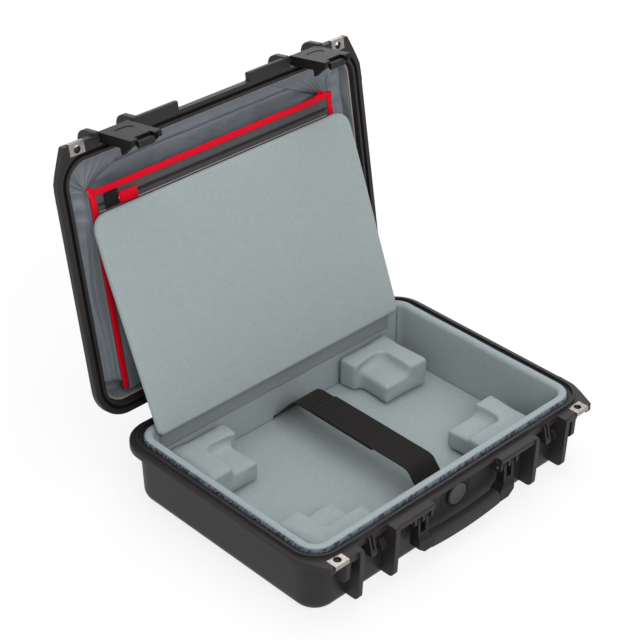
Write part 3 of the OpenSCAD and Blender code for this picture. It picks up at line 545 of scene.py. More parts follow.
def rounded_net(half_x, half_y, corner, step):
    """A net of points over a rounded rectangle, and each point's distance in from its outline."""
    x, y = np.meshgrid(edge_steps(half_x, step), edge_steps(half_y, step), indexing="ij")
    near, far = corner if isinstance(corner, tuple) else (corner, corner)
    corner = np.where(y < 0, near, far)
    ex = np.maximum(np.abs(x) - (half_x - corner), 0) / corner
    ey = np.maximum(np.abs(y) - (half_y - corner), 0) / corner
    both = (ex > 0) & (ey > 0)
    nx = np.where(both, ex * np.sqrt(1 - ey * ey / 2), ex) * corner
    ny = np.where(both, ey * np.sqrt(1 - ex * ex / 2), ey) * corner
    px = np.sign(x) * (np.minimum(np.abs(x), half_x - corner) + nx)
    py = np.sign(y) * (np.minimum(np.abs(y), half_y - corner) + ny)
    qx, qy = np.abs(px) - (half_x - corner), np.abs(py) - (half_y - corner)
    out = np.hypot(np.maximum(qx, 0), np.maximum(qy, 0)) + np.minimum(np.maximum(qx, qy), 0)
    return px, py, np.maximum(corner - out, 0)


def pillow(half_x, half_y, corner, thick, step, crown, edge, reach=60.0):
    """A closed pad lying flat: points, faces and UVs; its faces bulge by crown away from the edges."""
    px, py, inward = rounded_net(half_x, half_y, corner, step)
    e = np.minimum(inward, edge)
    z = thick / 2 - edge + np.sqrt(np.maximum(edge * edge - (edge - e) ** 2, 0))
    z = z + crown * (1 - np.exp(-inward / reach * 3))
    nu, nv = px.shape
    top, low = (net(px, py, h).reshape(-1, 3) for h in (z, -z))
    faces = grid_faces(nu, nv) + [f[::-1] for f in grid_faces(nu, nv, start=nu * nv)]
    ring = ([i * nv for i in range(nu)] + [(nu - 1) * nv + j for j in range(1, nv)]
            + [i * nv + nv - 1 for i in range(nu - 2, -1, -1)] + [j for j in range(nv - 2, 0, -1)])
    base = nu * nv
    if thick / 2 - edge > 0.01:
        faces += rim(ring + ring[:1], base)
    uv = np.stack([px, py], -1).reshape(-1, 2) * MM
    return np.vstack([top, low]), faces, np.vstack([uv, uv])


def weld(obj, distance=0.02):
    """Merges points that lie on each other and turns all faces outwards."""
    bm = bmesh.new()
    bm.from_mesh(obj.data)
    bmesh.ops.remove_doubles(bm, verts=bm.verts, dist=distance * MM)
    bmesh.ops.recalc_face_normals(bm, faces=bm.faces)
    bm.to_mesh(obj.data)
    bm.free()
    return obj


def read(obj, what="co"):
    """The coordinates of a mesh's points, or with "normal" their normals."""
    values = np.zeros(len(obj.data.vertices) * 3, np.float32)
    obj.data.vertices.foreach_get(what, values)
    return values.reshape(-1, 3).astype(float)


def set_coordinates(obj, co):
    obj.data.vertices.foreach_set("co", np.asarray(co, np.float32).ravel())
    obj.data.update()


def puff(obj, cap, pressure=4.0, frames=20):
    """Blows a closed mesh up a little as cloth, and keeps how far its points may move to cap mm."""
    start = read(obj)
    cloth = obj.modifiers.new("cloth", "CLOTH")
    s = cloth.settings
    s.quality = 6
    s.tension_stiffness = s.compression_stiffness = 12.0
    s.shear_stiffness = 5.0
    s.bending_stiffness = 0.6
    s.use_pressure = True
    s.uniform_pressure_force = pressure
    s.effector_weights.gravity = 0.0
    cloth.point_cache.frame_start, cloth.point_cache.frame_end = 1, frames
    for f in range(1, frames + 1):
        bpy.context.scene.frame_set(f)
    held = obj.evaluated_get(bpy.context.evaluated_depsgraph_get())
    moved = np.array([v.co for v in held.data.vertices], float)
    obj.modifiers.remove(cloth)
    bpy.context.scene.frame_set(1)
    shift = moved - start
    far = np.linalg.norm(shift, axis=1)[:, None]
    set_coordinates(obj, start + shift * np.minimum(1.0, cap * MM / np.maximum(far, 1e-9)))
    return obj


def relax(obj, factor, times):
    """Smooths a mesh."""
    bm = bmesh.new()
    bm.from_mesh(obj.data)
    for _ in range(times):
        bmesh.ops.smooth_vert(bm, verts=bm.verts, factor=factor, use_axis_x=True, use_axis_y=True,
                              use_axis_z=True)
    bm.to_mesh(obj.data)
    bm.free()


def subdivide(obj):
    m = obj.modifiers.new("smooth", "SUBSURF")
    m.levels = m.render_levels = 1
    return obj


LINING_T, CLOTH_T = 0.8, 0.7


def as_sheet(obj, flat):
    flat = [float(side) * MM for side in flat]
    return obj


def cloth(name, grid, thick, material, body, flat, held, rests_on=(), loop=False, area=None, **how):
    """A closed sheet of cloth: the grid, a second layer thick behind it and its hems. Sizes are in mm."""
    g = np.array(grid, float)
    du = np.roll(g, -1, 0) - np.roll(g, 1, 0) if loop else np.gradient(g, axis=0)
    n = np.cross(du, np.gradient(g, axis=1))
    n /= np.linalg.norm(n, axis=2)[..., None] + 1e-9
    nu, nv = g.shape[:2]
    size = nu * nv
    faces = grid_faces(nu, nv, loop_u=loop) + [f[::-1] for f in grid_faces(nu, nv, loop_u=loop, start=size)]
    row = [i * nv for i in range(nu)] + ([0] if loop else [])
    faces += rim(row, size) + rim([i + nv - 1 for i in reversed(row)], size)
    if not loop:
        faces += rim(range(nv - 1, -1, -1), size) + rim(range(size - nv, size), size)
    u = np.concatenate([[0], np.cumsum(np.linalg.norm(np.diff(g, axis=0), axis=2).mean(1))])
    v = np.concatenate([[0], np.cumsum(np.linalg.norm(np.diff(g, axis=1), axis=2).mean(0))])
    uv = uv_grid(u, v)
    obj = weld(piece(name, np.concatenate([g.reshape(-1, 3), (g - n * thick).reshape(-1, 3)]), faces, material,
                     body, uv=np.vstack([uv, uv]), **how), 0.005)
    if area == "made":
        area = sum(p.area for p in obj.data.polygons) / 2 / 1.04
        flat = (flat[0], min(flat[1], area / (0.35 * flat[0] * MM * MM)))
    return as_sheet(obj, flat)


# --- padded wall of the base ---
core, normal, arc = path_round(CX, CY, LINER_IN)
rise = np.linspace(0, 1, 13)
arc_top = np.radians(np.linspace(0, 180, 17))
mid_r, half_t = (LINER_OUT + LINER_IN) / 2, (LINER_OUT - LINER_IN) / 2
shoulder = LINER_TOP - half_t
wall_r = np.concatenate([[16.3, 22.0], 26.0 + 2.3 * rise, mid_r + (half_t - 0.1) * np.cos(arc_top[1:]),
                         LINER_IN + 0.05 + 0 * rise[1:]])
wall_z = np.concatenate([[4.8, 8.3], 17.5 + (shoulder - 17.5) * rise,
                         shoulder + (half_t - 0.1) * np.sin(arc_top[1:]),
                         shoulder + (4.8 - shoulder) * rise[1:]])
swell = sines(11, 7, 0.008, 0.035)
pucker = sines(12, 9, 0.05, 0.16)
corner_dip = np.exp(-((np.abs(np.abs(normal[:, 0]) - math.sqrt(0.5)) / 0.035) ** 2))
inner = np.arange(len(wall_r)) >= len(wall_r) - 12
wr = wall_r + inner * (0.7 * swell(arc[:, None], wall_z * 1.5) - 0.35) * (wall_z > 8)
wr += inner * corner_dip[:, None] * 1.1 * np.clip((wall_z - 8) / 30, 0, 1)
wz = wall_z + (wall_z > shoulder) * (0.55 * swell(arc[:, None] * 1.3, 3.0) + 0.25 * pucker(arc[:, None], 1.0))
wall_points = round_grid(core, normal, wr, wz)
liner = weld(piece("padded_wall", wall_points, grid_faces(len(core), len(wall_r), True, True), FOAM, "base",
                   uv=uv_grid(arc, section_lengths(wall_r, wall_z)), stands_for="base_liner"))


# --- fuzzy hook-and-loop band round the outside of the padded wall ---
def band_r(z):
    return 26.1 + 2.3 * (z - 17.0) / 73.0


b_core, b_normal, b_arc = path_round(CX, CY, LINER_OUT, step=4.0)
band_turn = np.radians(np.linspace(0, 44, 8))
section = np.array([(band_r(z) + 0.25, z) for z in (78.0, 82.0, 86.0, 88.5)]
                   + [(mid_r + (half_t + 0.25) * math.cos(t), shoulder + (half_t + 0.25) * math.sin(t))
                      for t in band_turn])
sec_len = section_lengths(section[:, 0], section[:, 1])
rough = sines(21, 14, 0.2, 1.1)
br = section[:, 0] + 0.12 * rough(b_arc[:, None], section[:, 1] * 2)
bz = section[:, 1] + 0.5 * rough(b_arc[:, None] * 0.7, 5.0) * (section[:, 1] > 93)
cloth("hook_band", round_grid(b_core, b_normal, br, bz), 0.35, HOOK_LIGHT, "base", (b_arc[-1], sec_len[-1]),
      "stretched", ["padded_wall"], loop=True, stands_for="liner_band")


def on_band(along, across, out):
    """A point on the band: along its length, across its section from below, and out from it."""
    i = max(0, min(int(np.searchsorted(b_arc, along)) - 1, len(b_core) - 2))
    t = (along - b_arc[i]) / max(b_arc[i + 1] - b_arc[i], 1e-6)
    c = b_core[i] * (1 - t) + b_core[i + 1] * t
    n = b_normal[i] * (1 - t) + b_normal[i + 1] * t
    n /= np.linalg.norm(n)
    r, z = (np.interp(across, sec_len, section[:, k]) for k in (0, 1))
    lift = np.array([r - mid_r, z - shoulder]) if z > shoulder else np.array([1.0, 0.0])
    lift = lift / np.linalg.norm(lift) * out
    return np.array([*(c + n * (r + lift[0])), z + lift[1]])


def tufts(name, seed, count, material, length, width, low, high):
    """Matted strokes of hooked pile, each a thin ribbon that lies along the band's section."""
    rng = random.Random(seed)
    points, faces = [], []
    for k in range(count):
        along = rng.uniform(6, b_arc[-1] - 8)
        start, long, wide = rng.uniform(low, high), rng.uniform(*length), rng.uniform(*width)
        slant = rng.uniform(0.1, 1.0)
        first = len(points)
        for j in range(5):
            t = j / 4
            half = wide / 2 * math.sin(math.pi * (0.12 + 0.76 * t))
            across = min(start + long * t, sec_len[-1])
            out = 0.12 + 0.22 * math.sin(math.pi * t) * rng.uniform(0.4, 1)
            points += [on_band(along + slant * long * t - half, across, out),
                       on_band(along + slant * long * t + half, across, out)]
        faces += [[first + 2 * j, first + 2 * j + 1, first + 2 * j + 3, first + 2 * j + 2] for j in range(4)]
    piece(name, points, faces, material, "base")


tufts("hook_tufts_dark", 5, 1150, HOOK, (3.0, 7.0), (0.7, 2.1), sec_len[-1] - 9.5, sec_len[-1] - 3.6)
tufts("hook_tufts_pale", 6, 1000, HOOK_PALE, (1.8, 4.2), (0.3, 1.0), sec_len[-1] - 8.5, sec_len[-1] - 1.2)

# seams in the rear corners, where the wall's back strip meets its sides, drawn in the darker foam fabric as painted
# shade of the crease
for side, hand in ((-1, "left"), (1, "right")):
    at = (side * (CX + (LINER_IN - 0.25) * math.sin(0.9)), CY + (LINER_IN - 0.25) * math.cos(0.9))
    tubes(f"wall_seam_{hand}", [[(*at, z) for z in np.arange(17.0, shoulder + 3, 4.0)]], 0.75, 8, FOAM_PAINTED_SHADE, "base")

# --- foam floor ---
half_x, half_y = CX + LINER_IN - 0.5, CY + LINER_IN - 0.5
p, f, uv = pillow(half_x, half_y, LINER_IN - 0.5, 9.0, 9.0, crown=0.15, edge=3.0)
p[:, 2] += 9.3 + 0.3 * sines(31, 8, 0.01, 0.05)(p[:, 0], p[:, 1]) * (p[:, 2] > 0)
weld(piece("foam_floor", p, f, FOAM, "base", uv=uv, stands_for="floor_pad"))


# --- corner pads: the CAD block, remeshed, drawn in a little and blown up as cloth ---
def soft_block(node, name, inset=2.0, cap=2.6, voxel=4.2):
    mesh = nodes[node].data.copy()
    mesh.name = name
    obj = bpy.data.objects.new(name, mesh)
    bpy.context.scene.collection.objects.link(obj)
    mesh.materials.clear()
    mesh.materials.append(FOAM)
    m = obj.modifiers.new("remesh", "REMESH")
    m.mode, m.voxel_size, m.use_smooth_shade = "VOXEL", voxel * MM, True
    bpy.context.view_layer.update()
    held = obj.evaluated_get(bpy.context.evaluated_depsgraph_get())
    obj.data = bpy.data.meshes.new_from_object(held)
    obj.data.name = name
    obj.modifiers.clear()
    co = read(obj)
    set_coordinates(obj, co - read(obj, "normal") * inset * MM)
    puff(obj, cap=cap)
    relax(obj, 0.5, 2)
    co = read(obj)
    lo, hi = (np.array(v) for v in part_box(node))
    set_coordinates(obj, np.clip(co, lo, hi))
    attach(obj, "base")
    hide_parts(node)
    return subdivide(obj)


for corner in ("rear_left", "front_left", "rear_right", "front_right"):
    soft_block("pad_" + corner, "corner_pad_" + corner)


# --- straps ---
def webbing(name, path, stands_for):
    """A woven strap along a path of (y, z) points, its underside one thickness below its line."""
    line = fine_line(path, 3.0)
    up = left_of(line)
    if up[len(up) // 2, 1] < 0:
        up = -up
    length = distances(line)
    across = np.concatenate([[-1, -0.985, -0.95], np.linspace(-0.88, 0.88, 11), [0.95, 0.985, 1]])
    drop = np.concatenate([[0.5, 0.2, 0.05], np.zeros(11), [0.05, 0.2, 0.5]])
    ring = ([(a, -drop[k] * STRAP_T) for k, a in enumerate(across)]
            + [(a, (drop[-1 - k] - 1) * STRAP_T) for k, a in enumerate(reversed(across))])
    wave = sines(41, 6, 0.02, 0.06)
    points, uv = [], []
    for i, (q, n) in enumerate(zip(line, up)):
        wob = 0.25 * wave(length[i], 0)
        for a, h in ring:
            h += wob * a
            points.append((STRAP_X + a * STRAP_W / 2, q[0] + n[0] * h, q[1] + n[1] * h))
            uv.append((a * STRAP_W / 2 * MM, length[i] * MM))
    n = len(across) * 2
    faces = grid_faces(len(line), n, loop_v=True)
    faces += [list(range(n)), [(len(line) - 1) * n + k for k in reversed(range(n))]]
    as_sheet(piece(name, points, faces, STRAP, "base", uv=uv, stands_for=stands_for), (STRAP_W, length[-1]))


webbing("strap_rear_webbing", [(147.0, 17.0), (141, 22.8), (134, 31.3), (120, 48.6), (114, 55.2), (109.5, 59.2),
                               (104.5, 61.3), (98, 62), (60, 62.1), (20, 62.0), (-12, 62.0), (-34, 61.9)],
        "strap_rear")
webbing("strap_front_webbing", [(76, 64.6), (50, 64.7), (0, 64.7), (-50, 64.7), (-84, 64.7), (-92.5, 64.0),
                                (-98, 61.6), (-102.5, 56.9), (-109, 49.3), (-120, 37.6), (-131, 26), (-139, 21.8),
                                (-147.0, 18.0)], "strap_front")

# the box of stitches with its cross, and a seam along each edge
box_x, box_y, seam_z = (STRAP_X - 20, STRAP_X + 20), (44, 73), 64.75
corners = [(box_x[i], box_y[j]) for i, j in ((0, 0), (1, 0), (1, 1), (0, 1), (0, 0))]
box = [(a[0] + (b[0] - a[0]) * t, a[1] + (b[1] - a[1]) * t, seam_z) for a, b in zip(corners, corners[1:])
       for t in np.arange(int(math.dist(a, b))) / int(math.dist(a, b))]
stitches("strap_stitches", box, THREAD_BLACK, "base")
stitches("strap_stitches_cross", np.linspace((box_x[0], box_y[0], seam_z), (box_x[1], box_y[1], seam_z), 41),
         THREAD_BLACK, "base")
for edge, x in (("a", -21.2), ("b", 21.2)):
    stitches(f"strap_edge_thread_{edge}", [(STRAP_X + x, y, 64.72) for y in range(-84, 42, 2)], THREAD_BLACK, "base")

# --- divider: a crowned foam panel that stands on its fold line ---
PIVOT_Y, PIVOT_Z, LEAN = 141.0, 93.0, 22.4
DIV_L, DIV_HALF, DIV_T, DIV_UNDER, DIV_TAIL, HINGE_HALF = 291.0, 216.0, 10.0, 7.2, 4.8, 205.0


def on_divider(points):
    """From the divider's own flat axes (x, along, out of its front) to where it stands."""
    x, along, out = np.moveaxis(points, -1, 0)
    c, s = math.cos(math.radians(90 - LEAN)), math.sin(math.radians(90 - LEAN))
    return net(x, PIVOT_Y + along * c - out * s, PIVOT_Z + along * s + out * c)


p, f, uv = pillow(DIV_HALF - 0.8, DIV_L / 2 - 0.8, (8.0, 21.5), 8.4, 7.0, crown=0.25, edge=4.2, reach=40)
panel = weld(piece("divider_pad", p, f, FOAM, "divider", uv=uv))
puff(panel, cap=0.9, pressure=3.0)
co = read(panel) / MM
along = (co[:, 1] + DIV_L / 2) / DIV_L
co[:, 0] *= np.interp(along, [0, 0.35, 0.8, 0.95, 1], [0.992, 0.998, 1.006, 1.003, 1.0])
dents = sines(51, 10, 0.01, 0.045)
co[:, 2] += 0.22 * dents(co[:, 0], co[:, 1]) * np.sign(co[:, 2]) * np.clip(np.abs(co[:, 2]) / 3, 0, 1)
co[:, 1] += DIV_L / 2 - DIV_TAIL
co[:, 2] += DIV_UNDER - DIV_T / 2
set_coordinates(panel, on_divider(co) * MM)
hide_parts("divider_panel")
subdivide(panel)

# --- fabric hinge of the divider: from the padded wall up round the panel's lower edge ---
flap = fine_line([(146.9, 61.5), (146.9, 70), (146.6, 78.5), (146.0, 82.5), (144.8, 86), (143.6, 88.5), (144.4, 92.5),
                  (146.0, 97.5), (147.9, 102)], 1.5)
xs = np.linspace(-HINGE_HALF, HINGE_HALF, 83)
ripple = sines(61, 8, 0.03, 0.12)
P = net(xs[:, None], flap[:, 0] - 0.3 - 0.3 * ripple(xs[:, None], flap[:, 1] * 0.5), flap[:, 1])
arc_f = distances(flap)
# the hinge cloth takes the darker foam fabric: painted shade below the divider
hinge_cloth = piece("divider_hinge_cloth", P, grid_faces(len(xs), len(flap)), FOAM_PAINTED_SHADE, "base",
                    uv=uv_grid(xs, arc_f), slot="lining_nylon")
hinge_cloth.parent = None
m = hinge_cloth.modifiers.new("thick", "SOLIDIFY")
m.thickness, m.offset = 0.8 * MM, 0
bpy.context.view_layer.update()
hinge_cloth.data = bpy.data.meshes.new_from_object(hinge_cloth.evaluated_get(bpy.context.evaluated_depsgraph_get()))
hinge_cloth.modifiers.clear()
del hinge_cloth["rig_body"]
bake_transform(hinge_cloth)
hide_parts("divider_hinge")
as_sheet(hinge_cloth, (2 * HINGE_HALF, arc_f[-1]))

# --- lid lining ---
def lid_r(depth):
    return 30.0 + 4.0 * (depth - 14.0) / (41.0 - 0.4 - 14.0)


l_core, l_normal, l_arc = path_round(CX, CY, 26.0, step=3.0, turn=3.0)
depth_low = 31.5
wall_d = np.linspace(depth_low, 14.0, 12)
rr = list(lid_r(wall_d) - 4.0 - 2.0)
zz = list(LID_TOP - wall_d)
for a in np.radians(np.linspace(0, 90, 9))[1:]:
    rr.append(30.0 - 14.0 + (14.0 - 6.0) * math.cos(a))
    zz.append(LID_TOP - 14.0 + (14.0 - 6.0) * math.sin(a))
for r in (12.0, 8.0, 4.0, 0.0):
    rr.append(r)
    zz.append(LID_TOP - 6.0)
rr, zz = np.array(rr), np.array(zz)
gather, drape, small = sines(71, 10, 0.05, 0.16), sines(72, 8, 0.02, 0.05), sines(73, 12, 0.15, 0.4)
fall = np.clip((zz - (LID_TOP - depth_low)) / 8.0, 0, 1)
on_wall = np.clip((rr - 12) / 8, 0, 1)
near_corner = np.clip(1 - np.abs(np.abs(l_normal[:, 0]) - 0.707) / 0.7, 0, 1)
skew = l_arc[:, None] + (zz - 100) * 0.9
fold = (0.7 + 1.2 * near_corner[:, None]) * np.maximum(gather(skew, 1.0), -0.25) * 2.2
fold += 0.9 * drape(l_arc[:, None], zz * 2.0) + 0.35 * small(l_arc[:, None], zz)
lr = rr - np.maximum(fold, -0.5) * fall * on_wall
lz = zz - np.maximum(fold, -0.3) * (1 - on_wall) * 0.5
P = round_grid(l_core, l_normal, lr, lz)
cloth("lid_lining_walls", P, LINING_T, NYLON, "lid", (l_arc[-1], section_lengths(rr, zz)[-1]), "stretched",
      ["lid_shell"], loop=True, stands_for="lid_liner")
gx, gy = np.meshgrid(np.linspace(-CX, CX, 104), np.linspace(-CY, CY, 68), indexing="ij")
to_corner = np.hypot(np.abs(gx) - POCKET_HALF, (gy - POCKET_FRONT) * 1.2)
around_corner = np.arctan2(gy - POCKET_FRONT, np.abs(gx) - POCKET_HALF)
pulled = np.sin(around_corner * 13 + 2 * np.sign(gx)) * np.exp(-to_corner / 80) * np.clip(to_corner / 20, 0, 1)
roof = np.stack([gx, gy, LID_TOP - 6.6 - 1.1 * drape(gx, gy) - 0.4 * small(gx * 0.5, gy * 0.5) - 2.2 * pulled], -1)
cloth("lid_lining_roof", roof, -LINING_T, NYLON, "lid", (2 * CX, 2 * CY), "stretched", ["lid_shell"])

# piping along the lining's edge
edge_line = round_grid(l_core, l_normal, lid_r(depth_low) - 5.4 + 0 * l_arc[:, None],
                       (LID_TOP - depth_low - 1.5) + 0.25 * small(l_arc[:, None], 0.0))[:, 0]
keep = np.concatenate([[True], np.linalg.norm(np.diff(edge_line, axis=0), axis=1) > 0.3])
p, f = quads_tube(edge_line[keep], 1.35, 10, closed=True)
piece("lid_lining_piping", p, f, EDGE, "lid", stands_for="lid_piping")

# --- zipped pocket in the lid, drawn on the closed lid: its face looks down ---
sag, pinch = sines(81, 7, 0.01, 0.035), sines(82, 10, 0.06, 0.2)
TAPE_END, PANEL_TOP = ZIP_Y + 9.2, ZIP_Y + 9.6
inner_half = POCKET_HALF - BINDING_W


def sheet_grid(x0, x1, y0, y1, nx, ny, z):
    gx, gy = np.meshgrid(np.linspace(x0, x1, nx), np.linspace(y0, y1, ny), indexing="ij")
    return np.stack([gx, gy, z(gx, gy)], -1)


def panel_z(x, y):
    slack = np.cos(x / inner_half * math.pi / 2) * np.clip((y - PANEL_TOP) / 60, 0, 1) * np.clip((150 - y) / 40, 0, 1)
    return POCKET_LOW + 1.5 - 1.2 * slack - 0.5 * sag(x, y) * slack - 0.12 * pinch(x, y)


cloth("pocket_panel", sheet_grid(-inner_half, inner_half, PANEL_TOP, POCKET_REAR - 0.5, 90, 56, panel_z), CLOTH_T,
      NYLON, "lid", (2 * inner_half, POCKET_REAR - PANEL_TOP), "stretched", ["pocket_binding_top"],
      slot="pocket_mesh", stands_for="pouch_front")
# the backing takes the darker nylon: painted shade inside the pocket
cloth("pocket_backing",
      sheet_grid(-POCKET_HALF + 1.5, POCKET_HALF - 1.5, POCKET_FRONT + 2.6, POCKET_REAR - 0.5, 90, 60,
                 lambda x, y: POCKET_LOW + 3.2 + 0.4 * sag(x, y) + 0.15 * pinch(x, y)),
      CLOTH_T, NYLON_PAINTED_SHADE, "lid", (2 * POCKET_HALF, POCKET_REAR - POCKET_FRONT), "stretched", ["pocket_side_walls"],
      stands_for="pouch_back")

# side and end walls of the pocket, gathered in small pleats
turn_r, wall_x, wall_end = 6.0, 199.6, POCKET_REAR - 10.4
quarter = np.radians(np.linspace(0, 90, 7))
left_leg = [(-wall_x, y) for y in np.arange(POCKET_FRONT + 6.5, wall_end - turn_r, 1.6)]
left_turn = [(-wall_x + turn_r * (1 - math.cos(a)), wall_end - turn_r * (1 - math.sin(a))) for a in quarter]
middle = [(x, wall_end) for x in np.arange(-wall_x + turn_r + 1.6, 0, 1.6)]
half_path = left_leg + left_turn + middle
g_path = np.array(half_path + [(-x, y) for x, y in reversed(half_path)])
g_out = left_of(g_path)
g_arc = distances(g_path)
g_z = np.linspace(POCKET_LOW + 4.2, LID_TOP - 7.4, 9)
g_rise = (g_z - g_z[0]) / (g_z[-1] - g_z[0])
pleat = sines(83, 6, 0.32, 0.6)
push = 1.5 * pleat(g_arc[:, None], g_rise * 3) * (1 - 0.75 * g_rise ** 2)
cloth("pocket_side_walls", round_grid(g_path, g_out, push, g_z), CLOTH_T, NYLON, "lid",
      (g_arc[-1] * 1.1, g_z[-1] - g_z[0]), "gathered", ["lid_lining_roof"], stands_for="pouch_gusset")

# slack nylon from the pocket's edge to the lid's wall: long folds beside the pocket, and a fan of folds
# round each top corner that runs out on the lining's roof
ROOF_Z = LID_TOP - 8.2
wander = sines(84, 6, 0.010, 0.034)
for side, hand in ((-1, "left"), (1, "right")):
    wall_r = lid_r(22.0) - 6.6
    bend = np.radians(np.linspace(3, 87, 24))
    outer = np.array([(CX + wall_r, y) for y in np.arange(140, -CY, -4.0)]
                     + [(CX + wall_r * math.cos(a), -CY - wall_r * math.sin(a)) for a in bend]
                     + [(x, -CY - wall_r) for x in np.arange(CX - 3, 96, -4.0)])
    along = distances(outer)
    at_corner = along[len(np.arange(140, -CY, -4.0)) + 9]
    run_out = np.clip((along - at_corner) / (along[-1] - at_corner), 0, 1)
    inner_line = np.stack([POCKET_HALF - 1.2 - 8 * run_out,
                           np.maximum(outer[:, 1], POCKET_FRONT + 1.4) + 5 * run_out], -1)
    t = np.linspace(0, 1, 26)
    fan = np.exp(-((along - at_corner) / 75) ** 2)[:, None]
    stroll = wander(along[:, None], side * 40.0)
    folds = (fan * np.sin((along[:, None] - at_corner) * 0.30 + 2.5 * stroll)
             + (1 - fan) * np.sin(2 * math.pi * (1.7 * t + 0.7 * stroll)))
    xy = inner_line[:, None] * (1 - t[..., None]) + outer[:, None] * t[..., None]
    slack = 8.0 * np.sin(np.pi * t ** 0.75) * (1 - run_out[:, None])
    z = ((POCKET_LOW + 3.4) * (1 - t) + 112.0 * t) * (1 - run_out[:, None]) + ROOF_Z * run_out[:, None] + slack
    z = np.minimum(z + 2.4 * folds * np.sin(np.pi * t ** 0.7) * (1 - 0.5 * run_out[:, None]), ROOF_Z + 0.8)
    P = np.concatenate([xy * [side, 1], z[..., None]], -1)
    span = np.linalg.norm(outer - inner_line, axis=1)
    cloth(f"pocket_skirt_{hand}", P, 0.5 * side, NYLON, "lid",
          (along[-1], span.max() * 1.1), "stretched", ["lid_lining_walls", "pocket_backing"],
          area="made")


# zip: two tapes, two rows of coil between them, and a pale hem along the panel's top
def tape_z(x, y):
    return POCKET_LOW + 1.1 - 0.16 * pinch(x * 0.8, y) - 0.2 * sag(x * 3, y)


for name, y0, y1 in (("upper", POCKET_FRONT + 7.5, ZIP_Y - 0.9), ("lower", ZIP_Y + 0.9, TAPE_END + 2.4)):
    cloth(f"zip_tape_{name}", sheet_grid(-inner_half - 1, inner_half + 1, y0, y1, 150, 7, tape_z), 0.6, TAPE, "lid",
          (2 * inner_half + 2, y1 - y0), "stretched", ["pocket_panel"],
          stands_for="pouch_zip" if name == "upper" else None)
TURN, COIL_STEPS = 1.5, 8
turns = int(2 * (inner_half - 3) / TURN)
for name, at_y, lag in (("front", ZIP_Y - 1.0, 0.0), ("rear", ZIP_Y + 1.0, math.pi)):
    a = np.arange(turns * COIL_STEPS) * 2 * math.pi / COIL_STEPS
    line = np.stack([-inner_half + 3 + a / (2 * math.pi) * TURN, at_y + 1.25 * np.cos(a + lag),
                     POCKET_LOW + 0.55 + 0.75 * np.sin(a + lag)], -1)
    tubes(f"zip_coil_{name}", [line], 0.36, 5, COIL, "lid")
for name, y in (("a", POCKET_FRONT + 11.5), ("b", ZIP_Y + 7.0)):
    seam = [(x, y, POCKET_LOW + 0.42) for x in np.arange(-190, 191, 2.0)]
    stitches(f"zip_thread_{name}", seam, COIL, "lid", pitch=2.8, length=1.9, radius=0.2)
hem = [(x, PANEL_TOP - 0.3, POCKET_LOW + 0.7 - 0.1 * math.sin(x * 0.11)) for x in np.arange(-193, 194, 4.0)]
tubes("pocket_hem", [hem], 0.95, 8, EDGE, "lid")

# binding: tape folded over the pocket's edge; the left strip lies over the top one
fold_d = np.array([9.0, 7.6, 6.0, 4.2, 2.6, 1.3, 0.5, 0.1, 0.5, 1.3, 2.6, 4.2, 6.0, 7.6, 9.0])
fold_z = np.array([0.25, 0.05, 0.0, -0.05, -0.05, 0.0, 0.35, 1.0, 1.65, 2.0, 2.1, 2.15, 2.15, 2.1, 2.0])
tape_len = section_lengths(fold_d, fold_z)[-1]
ruck = sines(85, 8, 0.05, 0.22)


def binding(name, outer, inward, lift, stands_for=None):
    """Folds tape along outer, a line of (x, y) points; inward holds a unit vector for each."""
    outer, inward = np.array(outer, float), np.array(inward, float)
    s = distances(outer)
    wob = 0.35 * ruck(s, lift * 9)
    front_side = np.where(np.arange(len(fold_d)) < 7, 1.0, 0.3)
    z = POCKET_LOW - 0.3 - lift + fold_z * (1 + lift * 0.4) + 0.22 * (
        ruck(s[:, None] * 1.3, fold_d * 0.8) * front_side)
    cloth(name, round_grid(outer, inward, fold_d + wob[:, None], z), 0.45 if inward[0, 0] > -0.5 else -0.45, RED,
          "lid", (s[-1], tape_len), "folded", ["pocket_panel"], stands_for=stands_for)
    seam = [(*(outer[i] + inward[i] * (7.7 + wob[i])), POCKET_LOW - 0.45 - lift) for i in range(len(outer))]
    stitches(f"{name}_thread_0", seam, THREAD_RED, "lid", pitch=3.0, length=2.1, radius=0.22)


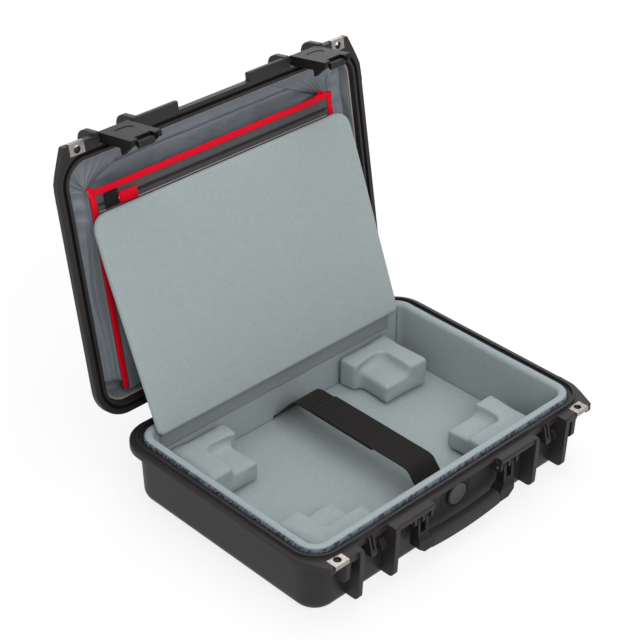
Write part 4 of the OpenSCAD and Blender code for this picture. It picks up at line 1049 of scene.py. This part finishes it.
top_x = np.linspace(-POCKET_HALF + 0.5, POCKET_HALF, 150)
top_y = POCKET_FRONT + 0.5 - 1.6 * np.exp(-((top_x - 186) / 9) ** 2) - 0.5 * np.exp(-((top_x + 196) / 8) ** 2)
binding("pocket_binding_top", np.stack([top_x, top_y], -1), [(0, 1)] * len(top_x), 0.0, "pouch_binding")
leg_y = np.linspace(150, POCKET_FRONT - 3.4, 108)
flare = np.clip((POCKET_FRONT + 12 - leg_y) / 15, 0, 1) ** 1.5
binding("pocket_binding_left", np.stack([-POCKET_HALF - 4.2 * flare, leg_y], -1), [(1, 0)] * len(leg_y), 0.55)
leg_y = np.linspace(150, POCKET_FRONT + 1.0, 104)
binding("pocket_binding_right", np.stack([POCKET_HALF + 0 * leg_y, leg_y], -1), [(-1, 0)] * len(leg_y), 0.4)

# crumpled end of the top tape at the right corner, and threads that have worked loose at the left one
crumple = fine_line([(172, -116.8, 101.2), (178, -119.4, 100.6), (182, -122.2, 100.9), (186, -121.2, 101.6),
                     (190, -118.4, 101.2)], 0.8)
p, f = quads_tube(crumple, 1.7, 10, squeeze=0.75)
p = np.array(p) + 0.35 * np.sin(np.array(p) * 1.7)[:, [1, 2, 0]]
weld(piece("binding_crumple", p, f, RED, "lid"), 0.01)
rng = random.Random(9)
threads = []
for _ in range(9):
    start = np.array([-204 + rng.uniform(-3, 4), POCKET_FRONT + rng.uniform(-3.5, 8), POCKET_LOW - 0.8])
    aim = np.array([rng.uniform(-4, 1.5), rng.uniform(-4, 2.5), rng.uniform(-0.8, 0.3)])
    threads.append(fine_line([start, start + aim * 0.5 + [0.4, -0.5, -0.5], start + aim], 0.6))
tubes("loose_threads", threads, 0.16, 5, EDGE, "lid", slot="red_binding")

# pull patch of webbing and the folded red tab, which move with the slider
cloth("zip_patch", sheet_grid(ZIP_X - 26, ZIP_X - 5.4, ZIP_Y - 12, ZIP_Y + 8, 14, 14,
                              lambda x, y: POCKET_LOW - 0.7 - 0.25 * np.sin((x - y) * 0.12)),
      1.1, STRAP, "zip", (20.6, 20.0), "laid", ["zip_slider"], stands_for="zip_pull")
tab_x, tab_z = fine_line([(ZIP_X + x, POCKET_LOW - z) for x, z in (
    (-5, 1.5), (5, 2.1), (15, 2.0), (21.4, 2.1), (22.6, 2.8), (21.4, 3.4), (15, 3.3), (5, 3.3), (-4, 2.8))], 1.0).T
tab_y = np.linspace(ZIP_Y - 7, ZIP_Y + 8, 12)
tab = net(tab_x[:, None], tab_y + 0.03 * (tab_x[:, None] - ZIP_X), tab_z[:, None] - 0.12 * np.sin(tab_y * 0.5))
cloth("zip_tab", tab, 0.45, RED, "zip", (15.0, section_lengths(tab_x, tab_z)[-1]), "folded", ["zip_slider"],
      stands_for="tab_red")
